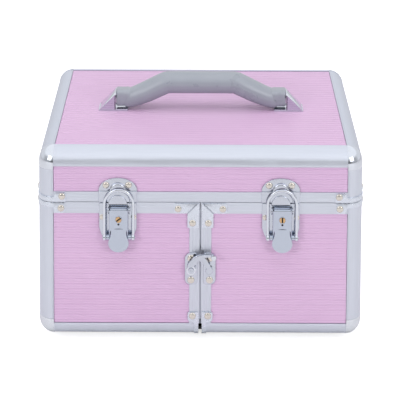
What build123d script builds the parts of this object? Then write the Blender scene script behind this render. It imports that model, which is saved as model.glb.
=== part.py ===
from build123d import *
import os
from math import cos, hypot, radians, sin

# Makeup train case: lined box with a rear-hinged lid, two L-shaped front doors,
# two draw latches with keys, a swing hook between the doors and a folding handle.
# Millimetres. X to the right, -Y is the front, +Z up. The shapes are drawn with the
# origin on the ground under the middle of the box; save() then moves them back by
# Y_SHIFT, which puts the origin under the middle of the outline with its fittings.
# Paired parts are drawn for the left side (-X) and mirrored. The signs sx, sy, sz
# choose a side.

# ---- box ----
WIDTH, DEPTH, HEIGHT = 300.0, 220.0, 180.0   # without feet, handle and latches
FOOT_H = 5.0
TOP_Z = FOOT_H + HEIGHT
LEFT_X, FRONT_Y, BACK_Y = -WIDTH / 2, -DEPTH / 2, DEPTH / 2

# ---- rails and panels ----
RAIL_R = 14.5                      # outer radius of the quarter-round rails
PANEL_T = 3.0
RECESS = 0.8                       # panel face below the rail face
SKIN = RECESS + PANEL_T            # depth of the panel's inner face
FLANGE_L, FLANGE_T = 6.0, 1.2      # rail flange behind the panel
RAIL_RI = RAIL_R - SKIN - FLANGE_T # inner radius of the rail section
WEB_T, INNER_T = 2.0, 1.0          # web and inner leg of the flat U rails
SKIRT = 4.0                        # skirt of the ball corners on the posts
ARC_X, ARC_Y = WIDTH / 2 - RAIL_R, DEPTH / 2 - RAIL_R   # rail arc centres in plan
ARC_LOW_Z, ARC_TOP_Z = FOOT_H + RAIL_R, TOP_Z - RAIL_R
LID_PANEL_Z = TOP_Z - RECESS       # top face of the lid panel

# ---- seam between lid and doors ----
SEAM_Z = FOOT_H + 131.0
SEAM_GAP = 0.25                    # half of the gap
DOOR_TOP_Z, LID_LOW_Z = SEAM_Z - SEAM_GAP, SEAM_Z + SEAM_GAP
LID_RAIL_H, DOOR_RAIL_H = 9.6, 10.6
FLANGE_GAP = 0.2                   # post flanges stop this far from the crossing rails
CORNER_CUT = FLANGE_L - SKIRT + FLANGE_GAP
LOW_POST_CUT = (CORNER_CUT, DOOR_RAIL_H + FLANGE_GAP)
LID_POST_CUT = (LID_RAIL_H + FLANGE_GAP, CORNER_CUT)

# ---- doors and door hinges ----
STILE_W = 9.2
DOOR_GAP, BOTTOM_GAP = 1.0, 1.5    # half gaps between the stiles and bottom rails
RUN = 0.05                         # radial running clearance of all pivots
HINGE_X, HINGE_Y = WIDTH / 2 + 2.25, 80.0
KNUCKLE_R, PIN_R = 2.15, 1.0
HINGE_Z0, HINGE_Z1, KNUCKLES = 26.0, 124.4, 8
LEAF_T = 1.0
DOOR_END_Y, BODY_START_Y = HINGE_Y - 1.0, HINGE_Y + 1.0
KNUCKLE_GAP = 0.2                  # at each end of a knuckle, on both kinds of hinge

# ---- lid hinges ----
LID_HINGE_X, LID_HINGE_Y = 85.0, DEPTH / 2 + 3.0
LID_KNUCKLE_R, LID_PIN_R = 2.6, 1.3
LID_HINGE_W, LID_KNUCKLES = 40.0, 5
LID_LEAF_Y = BACK_Y + 1.25         # outer face of the leaves

# ---- front hardware ----
PLATE_T = 1.2                      # plates of the latches and the hook
STRAP_T, BRACKET_T = 0.8, 0.9
LATCH_X = 75.0
LEVER_Y, LEVER_Z = FRONT_Y - 5.5, 130.8      # lever axis
BAIL_Y, BAIL_Z = FRONT_Y - 5.0, 105.0        # bail pivot on the lever
BAIL_PIN_R, LEVER_PIN_R = 1.3, 1.4
TAB_REACH = 6.3                    # thumb tab in front of the lever axis
KEY_Z, KEY_R = 123.7, 2.7
KEY_FRONT_Y = LEVER_Y - 4.5
HOOK_X, HOOK_Z, HOOK_PIN_R = -8.4, 73.6, 1.5
PEG_X, PEG_Z = 8.3, 72.2

# ---- handle ----
HANDLE_Y = -6.0
HANDLE_Z = LID_PANEL_Z + 11.8      # pivot axis
GRIP_Z = LID_PANEL_Z + 27.4        # middle of the grip
GRIP_R, GRIP_END_R, HANDLE_PIN_R = 10.6, 8.4, 1.5

# ---- lining ----
LINING_X, LINING_Y = 128.0, 88.0   # half sizes
LINING_Z0, LINING_Z1 = 27, 123     # wall linings

# half the overhang of the front latches over the rear hinges
Y_SHIFT = (TAB_REACH - LEVER_Y - LID_HINGE_Y - LID_KNUCKLE_R) / 2

os.makedirs("parts", exist_ok=True)


# ================= helpers =================
def box(x0, x1, y0, y1, z0, z1):
    middle = Pos((x0 + x1) / 2, (y0 + y1) / 2, (z0 + z1) / 2)
    return middle * Box(abs(x1 - x0), abs(y1 - y0), abs(z1 - z0))


def between(start, end):
    """frame in the middle of a line, z along it, and the line's length"""
    start = Vector(*start)
    line = Vector(*end) - start
    return Plane(origin=start, z_dir=line) * Pos(0, 0, line.length / 2), line.length


def cyl(radius, start, end):
    frame, length = between(start, end)
    return frame * Cylinder(radius, length)


def cone(start_r, end_r, start, end):
    frame, length = between(start, end)
    return frame * Cone(start_r, end_r, length)


def rod_x(radius, x0, x1, y, z):
    return cyl(radius, (x0, y, z), (x1, y, z))


def rod_y(radius, x, y0, y1, z):
    return cyl(radius, (x, y0, z), (x, y1, z))


def flip(shape, sx=1, sy=1, sz=1):
    """mirror the shape along every axis with a negative sign"""
    for sign, plane in ((sz, Plane.XY), (sx, Plane.YZ), (sy, Plane.XZ)):
        if sign < 0:
            shape = mirror(shape, plane)
    return shape


def pair(shape):
    return shape, flip(shape, -1)


def sector(r0, r1, start, end):
    """plane ring sector between two radii and two angles (degrees)"""
    def point(radius, angle):
        return (radius * cos(radians(angle)), radius * sin(radians(angle)))

    mid = (start + end) / 2
    return make_face([
        ThreePointArc(point(r1, start), point(r1, mid), point(r1, end)),
        Line(point(r1, end), point(r0, end)),
        ThreePointArc(point(r0, end), point(r0, mid), point(r0, start)),
        Line(point(r0, start), point(r1, start)),
    ])


def rect(x0, x1, y0, y1):
    return Pos((x0 + x1) / 2, (y0 + y1) / 2) * Rectangle(x1 - x0, y1 - y0)


def ring(r0, r1, height):
    """quarter ring in the +x +y quadrant, from z = 0 up"""
    return extrude(sector(r0, r1, 0, 90), amount=height)


def polygon(*points):
    return make_face(Polyline(*points, close=True).edges())


def plate(points, y0, y1):
    """flat upright plate with its outline given as (x, z) points"""
    return Pos(0, y1, 0) * (Rot(90, 0, 0) * extrude(polygon(*points), amount=y1 - y0))


ALL, TOP, BOTTOM = slice(None), slice(-2, None), slice(2)


def rounded(x0, x1, z0, z1, y0, y1, radius, corners=ALL):
    """upright plate facing the front, with rounded corners"""
    block = box(x0, x1, y0, y1, z0, z1)
    return fillet(block.edges().filter_by(Axis.Y).sort_by(Axis.Z)[corners], radius)


def pad(half_x, half_y, z0, z1, radius):
    """centred horizontal sheet with rounded corners"""
    sheet = box(-half_x, half_x, -half_y, half_y, z0, z1)
    return fillet(sheet.edges().filter_by(Axis.Z), radius)


def dome(x, y, z, outward=(0, -1, 0), radius=3.2, height=1.4):
    """rivet head: spherical cap standing on (x, y, z)"""
    ball_r = (radius**2 + height**2) / (2 * height)
    slab = Pos(0, 0, height / 2) * Cylinder(radius + 1, height)
    cap = (Pos(0, 0, height - ball_r) * Sphere(ball_r)) & slab
    return Plane(origin=(x, y, z), z_dir=outward) * cap


def save(name, *shapes):
    solids = [Pos(0, Y_SHIFT, 0) * solid for shape in shapes for solid in shape.solids()]
    node = solids[0] if len(solids) == 1 else Compound(children=solids)
    export_step(node, "parts/" + name + ".step")


# ================= rails and corners =================
def rail(length, lip=0.0, flange_u=True, flange_v=True, flat=0.0, cut_u=(0, 0), cut_v=(0, 0)):
    """hollow quarter-round extrusion along z, arc centre on the z axis, convex
    towards +x +y. Flange u lies behind the panel on the -x side, flange v behind the
    one on the -y side; cut_u and cut_v shorten them at the two ends. At x = RAIL_R,
    lip covers the panel edge and flat continues the full section along -y."""
    face = sector(RAIL_RI, RAIL_R, 0, 90) - sector(RAIL_RI + 1.3, RAIL_R - 1.6, 12, 78)
    if lip:
        face += rect(RAIL_R - RECESS, RAIL_R, -lip, 0)
    if flat:
        face += rect(RAIL_RI, RAIL_R, -flat, 0)
    body = extrude(face, amount=length)
    flange_r = RAIL_RI + FLANGE_T
    if flange_u:
        body += box(-FLANGE_L, 0, RAIL_RI, flange_r, cut_u[0], length - cut_u[1])
    if flange_v:
        body += box(RAIL_RI, flange_r, -FLANGE_L, 0, cut_v[0], length - cut_v[1])
    return body


def post(sx, sy, z0, z1, **options):
    """upright corner rail"""
    return Pos(sx * ARC_X, sy * ARC_Y, z0) * flip(rail(z1 - z0, **options), sx, sy)


def rail_x(x0, x1, sy, sz, z, **options):
    """rail along X; the section's x points outward in Y, its y outward in Z"""
    frame = Plane(origin=(0, 0, 0), x_dir=(0, 1, 0), z_dir=(1, 0, 0))
    body = frame * rail(x1 - x0, **options)
    return Pos(x0, sy * ARC_Y, z) * flip(body, sy=sy, sz=sz)


def rail_y(y0, y1, sx, sz, z, **options):
    """rail along Y; the section's x points outward in X, its y outward in Z"""
    frame = Plane(origin=(0, 0, 0), x_dir=(1, 0, 0), z_dir=(0, -1, 0))
    body = frame * rail(y1 - y0, **options)
    return Pos(sx * ARC_X, y1, z) * flip(body, sx=sx, sz=sz)


def seam_channel(length, lid):
    """flat U rail along x with its web at the seam, outer face at y = 0, inside
    towards +y; it stands on the lid side or hangs on the door side"""
    height = LID_RAIL_H if lid else DOOR_RAIL_H
    body = box(0, length, 0, RECESS, 0, height)
    body += box(0, length, RECESS, SKIN, 0, WEB_T)
    body += box(0, length, SKIN, SKIN + INNER_T, 0, height)
    if lid:
        return Pos(0, 0, LID_LOW_Z) * body
    return Pos(0, 0, DOOR_TOP_Z) * flip(body, sz=-1)


def front_channel(x0, x1, lid):
    return Pos(x0, FRONT_Y, 0) * seam_channel(x1 - x0, lid)


def left_channel(y0, y1, lid):
    return Pos(LEFT_X, y1, 0) * (Rot(0, 0, -90) * seam_channel(y1 - y0, lid))


def ball_corner(sx, sy, sz, z):
    """eighth of a hollow sphere plus a short skirt on the vertical post"""
    outer_r, inner_r = RAIL_R + 0.25, RAIL_R - 2.2
    shell = Sphere(outer_r) - Sphere(inner_r)
    body = shell & box(0, outer_r, 0, outer_r, 0, outer_r)
    body += Pos(0, 0, -SKIRT) * ring(inner_r, outer_r, SKIRT)
    return Pos(sx * ARC_X, sy * ARC_Y, z) * flip(body, sx, sy, sz)


def corner_strap(lid):
    """seam strap of the front left corner: two rivet tabs and a narrow band"""
    band_h = 4.8
    if lid:
        tab_z0, tab_z1, tab_l, band_z = LID_LOW_Z, LID_LOW_Z + 9.2, 11.5, LID_LOW_Z
    else:
        tab_z0, tab_z1, tab_l, band_z = DOOR_TOP_Z - 10.2, DOOR_TOP_Z, 10.5, DOOR_TOP_Z - band_h
    front, left = FRONT_Y - STRAP_T, LEFT_X - STRAP_T
    front_tab = rounded(-ARC_X, -ARC_X + tab_l, tab_z0, tab_z1, front, FRONT_Y, 2.0)
    side_tab = box(left, LEFT_X, -ARC_Y, -ARC_Y + tab_l, tab_z0, tab_z1)
    side_tab = fillet(side_tab.edges().filter_by(Axis.X), 2.0)
    band = flip(ring(RAIL_R, RAIL_R + STRAP_T, band_h), -1, -1)
    band = Pos(-ARC_X, -ARC_Y, band_z) * band
    # bridges join the band to the tabs past their rounded corners
    band += box(-ARC_X, -ARC_X + 3, front, FRONT_Y, band_z, band_z + band_h)
    band += box(left, LEFT_X, -ARC_Y, -ARC_Y + 3, band_z, band_z + band_h)
    return band + front_tab + side_tab


# ================= hinges =================
def door_leaf(fixed):
    """left door hinge leaf, on the body if fixed, otherwise on the door"""
    out_x = LEFT_X - LEAF_T
    side = 1 if fixed else -1
    pitch = (HINGE_Z1 - HINGE_Z0) / KNUCKLES
    leaf = box(out_x, LEFT_X, HINGE_Y + side * 2.6, HINGE_Y + side * 13.5, HINGE_Z0, HINGE_Z1)
    for i in range(0 if fixed else 1, KNUCKLES, 2):
        z0 = HINGE_Z0 + i * pitch + KNUCKLE_GAP
        z1 = HINGE_Z0 + (i + 1) * pitch - KNUCKLE_GAP
        leaf += cyl(KNUCKLE_R, (-HINGE_X, HINGE_Y, z0), (-HINGE_X, HINGE_Y, z1))
        leaf += box(out_x, LEFT_X - 0.1, HINGE_Y, HINGE_Y + side * 2.7, z0, z1)
    bore_ends = [(-HINGE_X, HINGE_Y, z) for z in (HINGE_Z0 - 1, HINGE_Z1 + 1)]
    return leaf - cyl(PIN_R + RUN, *bore_ends)


def lid_leaf(lower):
    """left lid hinge leaf, on the body if lower, otherwise on the lid"""
    side = -1 if lower else 1
    pitch = LID_HINGE_W / LID_KNUCKLES
    start_x = -LID_HINGE_X - LID_HINGE_W / 2
    end_x = start_x + LID_HINGE_W
    y0, y1 = BACK_Y + 0.05, LID_LEAF_Y
    leaf = box(start_x, end_x, y0, y1, SEAM_Z + side * 3.1, SEAM_Z + side * 17)
    for i in range(0 if lower else 1, LID_KNUCKLES, 2):
        x0 = start_x + i * pitch + KNUCKLE_GAP
        x1 = start_x + (i + 1) * pitch - KNUCKLE_GAP
        leaf += rod_x(LID_KNUCKLE_R, x0, x1, LID_HINGE_Y, SEAM_Z)
        leaf += box(x0, x1, y0, y1, SEAM_Z, SEAM_Z + side * 3.2)
    return leaf - rod_x(LID_PIN_R + RUN, start_x - 1, end_x + 1, LID_HINGE_Y, SEAM_Z)


def hinge_pins(sx):
    """headed door hinge pin and plain lid hinge pin of one side"""
    def door_pin(radius, z0, z1):
        return cyl(radius, (sx * HINGE_X, HINGE_Y, z0), (sx * HINGE_X, HINGE_Y, z1))

    pin = door_pin(PIN_R, HINGE_Z0 - 0.3, HINGE_Z1 + 0.4)
    pin += door_pin(PIN_R + 0.7, HINGE_Z1 + 0.3, HINGE_Z1 + 1.1)
    half = LID_HINGE_W / 2 + 0.4
    x = sx * LID_HINGE_X
    return [pin, rod_x(LID_PIN_R, x - half, x + half, LID_HINGE_Y, SEAM_Z)]


def door_hinge_rivets(sx, side):
    """side +1 is the fixed leaf, -1 the door's leaf"""
    pitch = (HINGE_Z1 - HINGE_Z0) / 4
    x, y = sx * (WIDTH / 2 + LEAF_T), HINGE_Y + side * 8.6
    return [dome(x, y, HINGE_Z0 + (i + 0.5) * pitch, (sx, 0, 0), 2.0, 0.8) for i in range(4)]


def lid_hinge_rivets(sx, side):
    """side +1 is the lid's leaf, -1 the body's"""
    z = SEAM_Z + side * 11.5
    return [
        dome(sx * LID_HINGE_X + dx, LID_LEAF_Y, z, (0, 1, 0), 2.4, 1.0) for dx in (-13, 0, 13)
    ]


# ================= fixed body =================
FLOOR_Z = 5.3                      # underside of the floor panel
FOOT_SPOTS = [(sx * 96.0, sy * 56.0) for sx in (-1, 1) for sy in (-1, 1)]


def rubber_foot(x, y):
    foot = cone(8.0, 9.5, (x, y, 0), (x, y, FLOOR_Z))
    foot -= cyl(3.6, (x, y, -1), (x, y, 3.0))
    foot -= cyl(1.7, (x, y, 2), (x, y, 6))
    return foot


def rear_post(sx):
    """rear corner rail, continued flat along the side up to the door"""
    return post(
        sx, 1, ARC_LOW_Z + SKIRT, DOOR_TOP_Z,
        flange_v=False, flat=ARC_Y - BODY_START_Y, cut_u=LOW_POST_CUT,
    )


def rear_side_rail(sx):
    return rail_y(BODY_START_Y, ARC_Y, sx, -1, ARC_LOW_Z, flange_u=False, flange_v=False)


def body_fasteners():
    rivets = []
    for sx in (-1, 1):
        rivets += door_hinge_rivets(sx, 1) + lid_hinge_rivets(sx, -1)
    screws = [cone(1.6, 3.0, (x, y, 2.9), (x, y, 1.4)) for x, y in FOOT_SPOTS]
    return rivets + screws


floor = box(-ARC_X + 1, ARC_X - 1, -ARC_Y + 1, ARC_Y, FLOOR_Z, FLOOR_Z + PANEL_T)
save("floor_panel", floor)
save("floor_lining", pad(LINING_X, LINING_Y, 8.4, 10.6, 6))
back_in_y = BACK_Y - SKIN
back = box(-ARC_X, ARC_X, back_in_y, BACK_Y - RECESS, ARC_LOW_Z, DOOR_TOP_Z - WEB_T)
save("back_panel", back)
back_lining = box(-LINING_X, LINING_X, back_in_y - 1.0, back_in_y, LINING_Z0, LINING_Z1)
save("back_lining", back_lining)
save("rear_corner_rails", rear_post(1), rear_post(-1))
back_rail = rail_x(-ARC_X, ARC_X, 1, -1, ARC_LOW_Z, lip=1.1)
save("back_bottom_rails", back_rail, rear_side_rail(1), rear_side_rail(-1))
save("back_top_rail", Rot(0, 0, 180) * front_channel(-ARC_X, ARC_X, lid=False))
save("rear_ball_corners", *[ball_corner(sx, 1, -1, ARC_LOW_Z) for sx in (1, -1)])
save("rubber_feet", *[rubber_foot(x, y) for x, y in FOOT_SPOTS])
save("door_hinge_fixed_leaves", *pair(door_leaf(fixed=True)))
save("lid_hinge_lower_leaves", *pair(lid_leaf(lower=True)))
save("hinge_pins", *hinge_pins(-1), *hinge_pins(1))
save("body_fasteners", *body_fasteners())

# ================= lid =================
MIRROR_Y = 58.0                    # half depth of the mirror
MIRROR_Z0, MIRROR_Z1 = 175.6, 178.1


def lid_walls():
    z0, z1 = LID_LOW_Z + WEB_T, ARC_TOP_Z
    right_x = WIDTH / 2
    return [
        box(-ARC_X, ARC_X, FRONT_Y + RECESS, FRONT_Y + SKIN, z0, z1),
        box(-ARC_X, ARC_X, BACK_Y - SKIN, BACK_Y - RECESS, z0, z1),
        box(LEFT_X + RECESS, LEFT_X + SKIN, -ARC_Y, ARC_Y, z0, z1),
        box(right_x - SKIN, right_x - RECESS, -ARC_Y, ARC_Y, z0, z1),
    ]


def lid_top_rails():
    cut = (FLANGE_L, FLANGE_L)
    rails = [rail_x(-ARC_X, ARC_X, sy, 1, ARC_TOP_Z) for sy in (-1, 1)]
    return rails + [rail_y(-ARC_Y, ARC_Y, sx, 1, ARC_TOP_Z, cut_u=cut) for sx in (-1, 1)]


def lid_post(sx, sy):
    z1 = ARC_TOP_Z - SKIRT
    return post(sx, sy, LID_LOW_Z, z1, cut_u=LID_POST_CUT, cut_v=LID_POST_CUT)


def latch_keeper():
    """catch plate on the lid front, stepped out to a raised lip inside the bail"""
    # half width, top z, front and back distance before the box face, corner radius
    steps = [
        (17.7, 158.6, PLATE_T, 0.0, 10.0),
        (10.2, 147.0, 2.4, 1.1, 4.0),
        (8.8, 142.0, 3.5, 2.3, 3.5),
    ]
    layers = [
        rounded(-LATCH_X - half, -LATCH_X + half, LID_LOW_Z + 0.1, top,
                FRONT_Y - front, FRONT_Y - back, radius, TOP)
        for half, top, front, back, radius in steps
    ]
    return layers[0] + layers[1] + layers[2]


def handle_end_cap():
    """right end cap: foot plate, upright inner wall and sloping outer face"""
    z0 = LID_PANEL_Z
    half, end_x, wall_x, wall_h = 8.5, 101.0, 83.8, 17.2
    foot = box(72.0, 100.5, -half, half, z0, z0 + 1.8)
    profile = polygon(
        (wall_x, z0), (end_x, z0), (end_x, z0 + 0.6), (85.0, z0 + wall_h), (wall_x, z0 + wall_h)
    )
    cap = foot + extrude(Plane.XZ * profile, amount=half, both=True)
    # round the outer corners in plan
    plan = box(60, end_x, -half, half, z0 - 1, z0 + 20)
    cap = cap & fillet(plan.edges().filter_by(Axis.Z).sort_by(Axis.X)[-2:], 1.5)
    cap -= rod_x(HANDLE_PIN_R + RUN, 80, 87.0, 0, HANDLE_Z)
    return Pos(0, HANDLE_Y, 0) * cap


def mirror_clip(sx, sy):
    """bent tab over the glass edge"""
    x, y = sx * 60.0, sy * MIRROR_Y
    low_z = MIRROR_Z0 - 1.0
    clip = box(x - 4, x + 4, y + sy * 0.2, y + sy * 6.5, MIRROR_Z1 - 0.9, MIRROR_Z1)
    clip += box(x - 4, x + 4, y + sy * 0.2, y + sy * 1.1, low_z, MIRROR_Z1)
    clip += box(x - 4, x + 4, y - sy * 3.0, y + sy * 1.1, low_z, low_z + 0.9)
    return clip


def lid_fasteners():
    parts = []
    strap_x, strap_y, strap_z = 127.6, 87.6, 141.6
    for sx in (-1, 1):
        for sy in (-1, 1):
            face_y, face_x = sy * (DEPTH / 2 + STRAP_T), sx * (WIDTH / 2 + STRAP_T)
            parts.append(dome(sx * strap_x, face_y, strap_z, (0, sy, 0)))
            parts.append(dome(face_x, sy * strap_y, strap_z, (sx, 0, 0)))
        for dx in (-10.3, 10.3):
            parts.append(dome(sx * LATCH_X + dx, FRONT_Y - PLATE_T, 153.0))
        parts += lid_hinge_rivets(sx, 1)
        parts += [mirror_clip(sx, sy) for sy in (-1, 1)]
    return parts


CORNERS = [(sx, sy) for sx in (-1, 1) for sy in (-1, 1)]
under_z = LID_PANEL_Z - PANEL_T
save("lid_top_panel", box(-ARC_X, ARC_X, -ARC_Y, ARC_Y, under_z, LID_PANEL_Z))
save("lid_wall_panels", *lid_walls())
save("lid_top_rails", *lid_top_rails())
save("lid_corner_posts", *[lid_post(sx, sy) for sx, sy in CORNERS])
save("lid_ball_corners", *[ball_corner(sx, sy, 1, ARC_TOP_Z) for sx, sy in CORNERS])
lid_front = front_channel(-ARC_X, ARC_X, lid=True)
lid_left = left_channel(-ARC_Y, ARC_Y, lid=True)
save("lid_seam_rails", lid_front, Rot(0, 0, 180) * lid_front, *pair(lid_left))
lid_strap = corner_strap(lid=True)
save("lid_corner_straps", *[flip(lid_strap, sx, sy) for sy in (1, -1) for sx in (1, -1)])
save("latch_keepers", *pair(latch_keeper()))
save("handle_end_caps", *pair(handle_end_cap()))
save("handle_pins", *pair(rod_x(HANDLE_PIN_R, 75.6, 85.2, HANDLE_Y, HANDLE_Z)))
save("lid_hinge_upper_leaves", *pair(lid_leaf(lower=False)))
save("lid_lining", pad(LINING_X, LINING_Y, 178.2, under_z, 6))
save("lid_mirror", pad(92, MIRROR_Y, MIRROR_Z0, MIRROR_Z1, 4))
save("lid_fasteners", *lid_fasteners())


# ================= left door =================
def door_panels():
    z0, z1 = ARC_LOW_Z, DOOR_TOP_Z - WEB_T
    return [
        box(-ARC_X, -DOOR_GAP - WEB_T, FRONT_Y + RECESS, FRONT_Y + SKIN, z0, z1),
        box(LEFT_X + RECESS, LEFT_X + SKIN, -ARC_Y, DOOR_END_Y - WEB_T, z0, z1),
    ]


def door_corner_rail():
    z0 = ARC_LOW_Z + SKIRT
    return [post(-1, -1, z0, DOOR_TOP_Z, cut_u=LOW_POST_CUT, cut_v=LOW_POST_CUT)]


def door_bottom_rails():
    return [
        rail_x(-ARC_X, -BOTTOM_GAP, -1, -1, ARC_LOW_Z, flange_u=False),
        rail_y(-ARC_Y, DOOR_END_Y, -1, -1, ARC_LOW_Z, flange_u=False),
    ]


def door_edge_rails():
    """two seam rails, then the upright U rails at the door split and at the hinge"""
    z0, z1 = ARC_LOW_Z, DOOR_TOP_Z - DOOR_RAIL_H
    inner_z = z0 + FLANGE_L + 0.1  # the inner legs clear the bottom rail flange
    x0, x1, y = -DOOR_GAP - STILE_W, -DOOR_GAP, FRONT_Y
    stile = box(x0, x1, y, y + RECESS, z0, z1)
    stile += box(x1 - WEB_T, x1, y + RECESS, y + SKIN, z0, z1)
    stile += box(x0, x1, y + SKIN, y + SKIN + INNER_T, inner_z, z1)
    y0, y1, x = DOOR_END_Y - 10.0, DOOR_END_Y, LEFT_X
    rear = box(x, x + RECESS, y0, y1, z0, z1)
    rear += box(x + RECESS, x + SKIN, y1 - WEB_T, y1, z0, z1)
    rear += box(x + SKIN, x + SKIN + INNER_T, y0, y1, inner_z, z1)
    return [
        front_channel(-ARC_X, -DOOR_GAP, lid=False),
        left_channel(-ARC_Y, DOOR_END_Y, lid=False),
        stile,
        rear,
    ]


def door_brackets():
    """L bracket at the top, foot bracket with a tail round the rail, seam strap"""
    front = FRONT_Y - BRACKET_T
    # outline as (x, z)
    outline = [
        (-24.4, 125.6), (-24.4, 135.2), (-1.3, 135.2),
        (-1.3, 112.0), (-12.0, 112.0), (-12.0, 125.6),
    ]
    top = plate(outline, front, FRONT_Y)
    top = fillet(top.edges().filter_by(Axis.Y).sort_by(Axis.X)[:2], 1.5)
    foot = rounded(-11.6, -BOTTOM_GAP, ARC_LOW_Z + 0.2, 31.0, front, FRONT_Y, 1.5)
    x0, x1 = -5.7, -BOTTOM_GAP
    frame = Plane(origin=(x0, 0, 0), x_dir=(0, 1, 0), z_dir=(1, 0, 0))
    tail = flip(frame * ring(RAIL_R, RAIL_R + BRACKET_T, x1 - x0), sy=-1, sz=-1)
    tail = Pos(0, -ARC_Y, ARC_LOW_Z) * tail
    tail += box(x0, x1, front, FRONT_Y, ARC_LOW_Z, ARC_LOW_Z + 3)
    tail += box(x0, x1, -ARC_Y, -ARC_Y + 2.0, FOOT_H - BRACKET_T, FOOT_H)
    return [top, foot + tail, corner_strap(lid=False)]


def door_lining():
    t = 0.9
    y, x = FRONT_Y + SKIN, LEFT_X + SKIN
    return [
        box(-LINING_X, -11.5, y, y + t, LINING_Z0, LINING_Z1),
        box(x, x + t, -LINING_Y, 67, LINING_Z0, LINING_Z1),
    ]


def tray_block(x0, x1, y0, y1, z0, z1, radius):
    """block with a round front left corner"""
    block = box(x0, x1, y0, y1, z0, z1)
    upright = block.edges().filter_by(Axis.Z)
    corner = [edge for edge in upright if edge.center().X < -100 and edge.center().Y < -50]
    return fillet(corner, radius)


def door_tray():
    """open tray inside the door with two crossing dividers"""
    x0, x1, y0, y1, z0, z1 = -145.0, -4.5, -105.0, 24.0, 84.0, 116.0
    wall, radius = 1.6, 11.0
    bite, divider_t = 0.5, 1.4     # dividers run this far into walls and floor
    divider_z1 = z1 - 4
    tray = tray_block(x0, x1, y0, y1, z0, z1, radius) - tray_block(
        x0 + wall, x1 - wall, y0 + wall, y1 - wall, z0 + wall, z1 + 1, radius - wall
    )
    tray += box(-76.0, -76.0 + divider_t, y0 + bite, y1 - bite, z0 + bite, divider_z1)
    tray += box(-75.0, x1 - bite, -41.0, -41.0 + divider_t, z0 + bite, divider_z1)
    return [tray]


def door_fasteners():
    bracket_y, plate_y = FRONT_Y - BRACKET_T, FRONT_Y - PLATE_T
    rivets = [dome(x, bracket_y, z) for x, z in ((-20.6, 130.2), (-7.3, 116.6), (-7.1, 27.2))]
    rivets.append(dome(-128.4, FRONT_Y - STRAP_T, 130.4))
    rivets.append(dome(LEFT_X - STRAP_T, -88.4, 130.4, (-1, 0, 0)))
    rivets += door_hinge_rivets(-1, -1)
    for dx in (-13.8, 13.8):
        rivets.append(dome(-LATCH_X + dx, plate_y, 123.0, radius=2.6, height=0.9))
    for z in (83.0, 62.2):
        rivets.append(dome(-8.5, plate_y, z, radius=3.3, height=1.2))
    return rivets


def latch_base():
    """plate with a round lower end, two ears and the lever's pivot pin"""
    x, half = -LATCH_X, 17.3
    base = rounded(
        x - half, x + half, 101.0, DOOR_TOP_Z - 0.1, FRONT_Y - PLATE_T, FRONT_Y, 13.0, BOTTOM
    )
    for sx in (-1, 1):
        x0, x1 = sorted((x + sx * 9.1, x + sx * 10.2))
        ear = box(x0, x1, LEVER_Y - 0.2, FRONT_Y - 1.1, LEVER_Z - 4.4, LEVER_Z + 2.6)
        ear += rod_x(2.6, x0, x1, LEVER_Y, LEVER_Z)
        base += ear
    base += rod_x(LEVER_PIN_R, x - 10.8, x + 10.8, LEVER_Y, LEVER_Z)
    return [base]


DOOR_PARTS = {
    "panels": door_panels(),
    "corner_rail": door_corner_rail(),
    "bottom_rails": door_bottom_rails(),
    "edge_rails": door_edge_rails(),
    "ball_corner": [ball_corner(-1, -1, -1, ARC_LOW_Z)],
    "brackets": door_brackets(),
    "lining": door_lining(),
    "tray": door_tray(),
    "hinge_leaf": [door_leaf(fixed=False)],
    "fasteners": door_fasteners(),
    "latch_base": latch_base(),
}
for name, shapes in DOOR_PARTS.items():
    save("door_left_" + name, *shapes)
    save("door_right_" + name, *[flip(shape, -1) for shape in shapes])


# ================= left latch: lever, bail, key =================
def thumb_tab(x):
    """tab bent outward, round at its lower end"""
    # profile: y from the lever axis, z
    profile = [
        (-2.4, 115.0), (-3.8, 115.0), (-4.1, 109.5), (-4.6, 102.0),
        (-TAB_REACH, 93.2), (-5.0, 92.8), (-3.3, 102.0), (-2.8, 109.5),
    ]
    face = polygon(*[(LEVER_Y + dy, z) for dy, z in profile])
    tab = Pos(x, 0, 0) * extrude(Plane.YZ * face, amount=9.0, both=True)
    outline = box(x - 7.4, x + 7.4, -140, -110, 102.0, 116.0) + rod_y(9.0, x, -140, -110, 102.0)
    return tab & outline


def latch_lever():
    x, half, wall = -LATCH_X, 8.8, 1.2
    y, z = LEVER_Y, LEVER_Z
    lever = rod_x(3.8, x - half, x + half, y, z)
    lever -= box(x - half + wall, x + half - wall, y, y + 5, z - 5, z + 5)
    # front plate and side flanges
    lever += box(x - half, x + half, y - 3.8, y - 2.4, 113.8, z + 1.5)
    for sx in (-1, 1):
        lever += box(x + sx * (half - wall), x + sx * half, y - 3.0, y + 2.6, 102.5, z)
    lever += thumb_tab(x)
    # bail pins and their bosses
    for sx in (-1, 1):
        root = x + sx * (half - 0.5)
        lever += rod_x(BAIL_PIN_R, root, x + sx * 15.1, BAIL_Y, BAIL_Z)
        lever += rod_x(2.4, root, x + sx * 11.6, BAIL_Y, BAIL_Z)
    # pivot bore, key bore and a small hole below it
    lever -= rod_x(LEVER_PIN_R + RUN, x - 20, x + 20, y, z)
    lever -= rod_y(KEY_R + RUN, x, FRONT_Y - 15.0, FRONT_Y - 2.0, KEY_Z)
    lever -= rod_y(0.8, x, FRONT_Y - 15.0, y, KEY_Z - 4.6)
    return lever


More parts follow.
